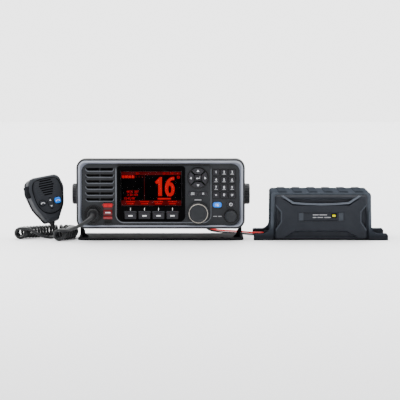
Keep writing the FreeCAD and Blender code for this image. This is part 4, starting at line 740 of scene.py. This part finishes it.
BOX_FRONT, BOX_MIDDLE = -55, 261
top_lip = [(195.5, 72.6), (214.6, 59.6), (236, 57.7), (261, 57.1), (286, 57.7), (307.4, 59.6),
           (326.5, 72.6), (322.0, 73.0), (305.5, 62.6), (285, 60.8), (261, 60.3), (237, 60.8),
           (216.5, 62.6), (200.0, 73.0)]
side_lip = [(187.0, 59.5), (197.4, 47), (197.4, 29), (187.0, 14.5), (187.0, 18), (195.4, 30),
            (195.4, 46), (187.0, 56)]
far_lip = [(2 * BOX_MIDDLE - x, z) for x, z in side_lip][::-1]
piece("box_top_lip", prisms([top_lip], BOX_FRONT + 4, 4.15), "root", "box lip")
piece("box_side_lips", prisms([side_lip, far_lip], BOX_FRONT + 1, 1.12), "root", "window end")
window_ends = [box_outline(BOX_MIDDLE + side, 38.7, 7.6, 13.0) for side in (-32.6, 32.6)]
piece("box_window_ends", prisms(window_ends, BOX_FRONT + 1.5, 1.1), "root", "window end")
marks = [box_outline(across, up, wide, 1.4) for across, up, wide in (
    (252.2, 41.6, 9.4), (264.4, 41.6, 12.4), (250.4, 37.4, 5.8), (259.6, 37.4, 9),
    (271.4, 37.4, 10.4))]
piece("box_marks", prisms(marks, BOX_FRONT + 0.75, 0.06), "root", "faint print")
lamp_seat = [box_outline(281.9, 37.35, 8.2, 1.3), box_outline(281.9, 42.85, 8.2, 1.3),
             box_outline(278.4, 40.1, 1.2, 4.2), box_outline(285.4, 40.1, 1.2, 4.2)]
piece("box_lamp_seat", prisms(lamp_seat, BOX_FRONT + 0.75, 0.3), "root", "shadow")


# Cords

def read_line(holder):
    """Points along a line, as the curve itself gives them."""
    return [v.co.copy() for v in grown(holder).vertices]


def cord_line(points):
    """The cord's line: a smooth curve with the route's points, in millimetres."""
    return smooth_line([Vector(spot) * MM for spot in points], 6)


def tube_piece(name, holder, radius, rounds, finish):
    """Turn a line into a closed mesh tube with its finish."""
    holder.data.bevel_depth = radius * MM
    holder.data.bevel_resolution = rounds
    holder.data.use_fill_caps = True
    mesh = grown(holder)
    bpy.data.objects.remove(holder)
    build = bmesh.new()
    build.from_mesh(mesh)
    bmesh.ops.remove_doubles(build, verts=build.verts, dist=1e-7)
    bmesh.ops.recalc_face_normals(build, faces=build.faces)
    for polygon in build.faces:
        polygon.smooth = True
    build.to_mesh(mesh)
    build.free()
    made = stood(name, mesh)
    mesh.materials.clear()
    mesh.materials.append(finishes[finish])
    return made


def cord_piece(name, points, radius, finish, rounds=3):
    """A round cord along a route, with the line that it follows."""
    holder = cord_line(points)
    path = read_line(holder)
    return tube_piece(name, holder, radius, rounds, finish), path


def boot_piece(name, path, thick, thin, reach, finish):
    """A tapered rubber boot over the start of a cord."""
    covered = [path[0]]
    gone = 0.0
    for before, after in zip(path, path[1:]):
        gone += (after - before).length
        if gone > reach * MM:
            break
        covered.append(after)
    holder = smooth_line(covered, 3)
    for place, control in enumerate(holder.data.splines[0].points):
        control.radius = thick + (thin - thick) * place / (len(covered) - 1)
    return tube_piece(name, holder, 1, 4, finish)


# Coil of the microphone's cord: curls, points in each, radius of their middle line, height of
# the axis, and the sharpest bend, per millimetre, that the winding still makes up for
CURLS, CURL_POINTS, REACH, AXIS_UP, SHARPEST = 30, 18, 7.6, 10.1, 0.06
coil_route = [(-230, -35), (-230, -24.2), (-223.7, -12), (-212, -3.8), (-198, 6), (-184, 15.8),
              (-171.7, 24.4), (-156.6, 22.6), (-146.5, 11.3), (-146.5, 0), (-146.5, -13.3),
              (-146.5, -38.8), (-164.8, -56.5), (-164.8, -71.2)]
axis_holder = cord_line([(x, y, AXIS_UP) for x, y in coil_route])
axis_line = [spot / MM for spot in read_line(axis_holder)]
bpy.data.objects.remove(axis_holder)


def curls_along(line):
    """Curls wound left-handed about a line, slower where it bends, from the top of the first."""
    headings = [(b - a).normalized() for a, b in zip(line, line[1:])]
    turned = [0.0]
    for i in range(1, len(line)):
        gap = (line[i] - line[i - 1]).length
        first = max(0, i - 4)  # The bend is read over the eight steps about a spot
        near = headings[first:i + 4]
        span = sum((b - a).length for a, b in zip(line[first:i + 4], line[first + 1:i + 5]))
        bend = near[0].angle(near[-1]) / max(span, 1e-6)
        turned.append(turned[-1] + gap * (1 - REACH * min(bend, SHARPEST)))
    whole = CURLS * 2 * math.pi
    turned = [t * whole / turned[-1] for t in turned]
    reach = REACH / math.cos(math.pi / CURL_POINTS)
    spots, i = [], 1
    for step in range(CURLS * CURL_POINTS + 1):
        angle = step * whole / (CURLS * CURL_POINTS)
        while i < len(turned) - 1 and turned[i] < angle:
            i += 1
        share = (angle - turned[i - 1]) / (turned[i] - turned[i - 1])
        base = line[i - 1].lerp(line[i], share)
        ahead = headings[max(0, i - 2)].lerp(headings[min(len(headings) - 1, i)], 0.5)
        ahead = ahead.normalized()
        left = Vector((-ahead.y, ahead.x, 0))
        up = Vector((0, 0, reach * math.cos(angle)))
        spots.append(base + up + left * (reach * math.sin(angle)))
    return spots


curls = curls_along(axis_line)
# The way the cord leaves the microphone, and the mouth of the boot there
down = (MIC.to_3x3() @ Vector((0, 0, -1))).normalized()
mouth = MIC @ Vector((0, -4.75 * MM, -50.5 * MM)) / MM
radio_tail = [(-109.2, -78, 42.9), (-109.2, -87, 42.9), (-113, -96, 38), (-121.5, -99, 32),
              (-132, -96, 26), (-142.5, -89, 21.5), (-150.3, -72.8, 17.7), (-160.2, -71.7, 17.7)]
mic_tail = [(-225.4, -35.5, 17.7), (-215.5, -36.7, 17.7), (-207, -39, 12.5), (-196.5, -38, 7),
            (-187, -33.5, 3.4), (-179.6, -26.5, 2.5), (-175.6, -18.5, 2.9), (-174.6, -11.5, 5),
            tuple(mouth + down * 6.5), tuple(mouth)]
mic_route = radio_tail + [tuple(spot) for spot in curls[::-1]] + mic_tail
mic_cord, mic_line = cord_piece("mic_cord", mic_route, 2.3, "cord")
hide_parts("mic_cord_coil", "mic_cord_radio_tail", "mic_cord_mic_tail")
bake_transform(mic_cord)

plug_boot = boot_piece("mic_plug_boot", mic_line, 3.9, 2.6, 62, "boot")
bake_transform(plug_boot)

# The lead: spots of its middle, and at each the side to which the red wire lies
lead_route = [((60, 59, 45), (0, 0, 1)), ((60, 71, 45), (0, 0, 1)),
              ((61, 84, 34), (0, 0.75, 0.66)), ((66, 94, 18), (0.2, 0.9, 0.35)),
              ((78, 98, 5.5), (0, 0.5, 0.87)), ((96, 93, 3.1), (0, 0, 1)),
              ((116, 80, 3.1), (0, 0, 1)), ((134, 65, 3.1), (0, 0, 1)),
              ((146, 51, 3.1), (0, 0, 1)), ((157, 41, 3.1), (0, 0, 1)),
              ((170.3, 41, 3.1), (0, 0, 1))]
for name, side, finish in (("power_wire_red", 1.5, "red wire"),
                           ("power_wire_black", -1.5, "black wire")):
    route = [tuple(Vector(spot) + Vector(away) * side) for spot, away in lead_route]
    wire, line = cord_piece(name, route, 1.5, finish, rounds=2)
    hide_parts("power_cable")
    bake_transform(wire)


# Studio: floor, lights and camera. The room is bright behind the set and dimmer before it
FRONT_GLOW, BACK_GLOW = 0.24, 3.4


def studio_floor():
    """A wide, pale floor that runs back as far as the camera sees."""
    build = bmesh.new()
    corners = [build.verts.new(spot) for spot in ((-6, -4, 0), (6, -4, 0), (6, 5, 0), (-6, 5, 0))]
    build.faces.new(corners)
    mesh = bpy.data.meshes.new("floor")
    build.to_mesh(mesh)
    build.free()
    floor = stood("floor", mesh)
    finish = Finish("studio floor")
    soft = finish.noise(400, 2)
    mesh.materials.append(finish.close({"Base Color": finish.shade(soft, (0.86, 0.86, 0.87, 1),
                                                                   (0.9, 0.9, 0.91, 1)),
                                        "Roughness": 0.6 + soft * 0.1}))


studio_floor()
world = bpy.data.worlds.new("studio")
bpy.context.scene.world = world
world.use_nodes = True
sky = world.node_tree
aim_of = sky.nodes.new("ShaderNodeTexCoord")
parts = sky.nodes.new("ShaderNodeSeparateXYZ")
behind = sky.nodes.new("ShaderNodeMapRange")
behind.interpolation_type = "SMOOTHSTEP"
for index, value in ((1, 0.0), (2, 0.9), (3, FRONT_GLOW), (4, BACK_GLOW)):
    behind.inputs[index].default_value = value
sky.links.new(aim_of.outputs["Generated"], parts.inputs[0])
sky.links.new(parts.outputs["Y"], behind.inputs[0])
sky.links.new(behind.outputs[0], sky.nodes["Background"].inputs["Strength"])
sky.nodes["Background"].inputs["Color"].default_value = (1, 1, 1, 1)


def soft_light(name, spot, target, size, power):
    """A large soft box, aimed."""
    lamp = bpy.data.lights.new(name, "AREA")
    lamp.shape = "RECTANGLE"
    lamp.size, lamp.size_y = size
    lamp.energy = power
    made = stood(name, lamp)
    made.location = spot
    made.rotation_euler = (Vector(target) - Vector(spot)).to_track_quat("-Z", "Y").to_euler()


soft_light("top box", (-0.3, -0.8, 1.5), (0.05, 0, 0.05), (1.6, 1.0), 15)
soft_light("overhead box", (0.0, 4.0, 3.0), (0.0, 4.0, 0.0), (10.0, 10.0), 1300)
soft_light("left box", (-1.5, -0.9, 0.7), (0, 0, 0.06), (0.9, 0.9), 8)
soft_light("right box", (1.6, -0.8, 0.6), (0.1, 0, 0.06), (0.8, 0.8), 6)

# Camera: the spot it looks at, and its distance and the width of its view there, in metres;
# its lift in degrees; and its sensor in millimetres
AIM, DISTANCE, VIEW_WIDTH, LIFT, SENSOR = Vector((0.064, -0.055, 0.0659)), 4.0, 0.65, 4, 36
lens = bpy.data.cameras.new("camera")
lens.sensor_width = SENSOR
lens.lens = SENSOR * DISTANCE / VIEW_WIDTH
camera = stood("camera", lens)
lift = math.radians(LIFT)
camera.location = AIM + Vector((0, -math.cos(lift), math.sin(lift))) * DISTANCE
camera.rotation_euler = (AIM - camera.location).to_track_quat("-Z", "Y").to_euler()
bpy.context.scene.camera = camera
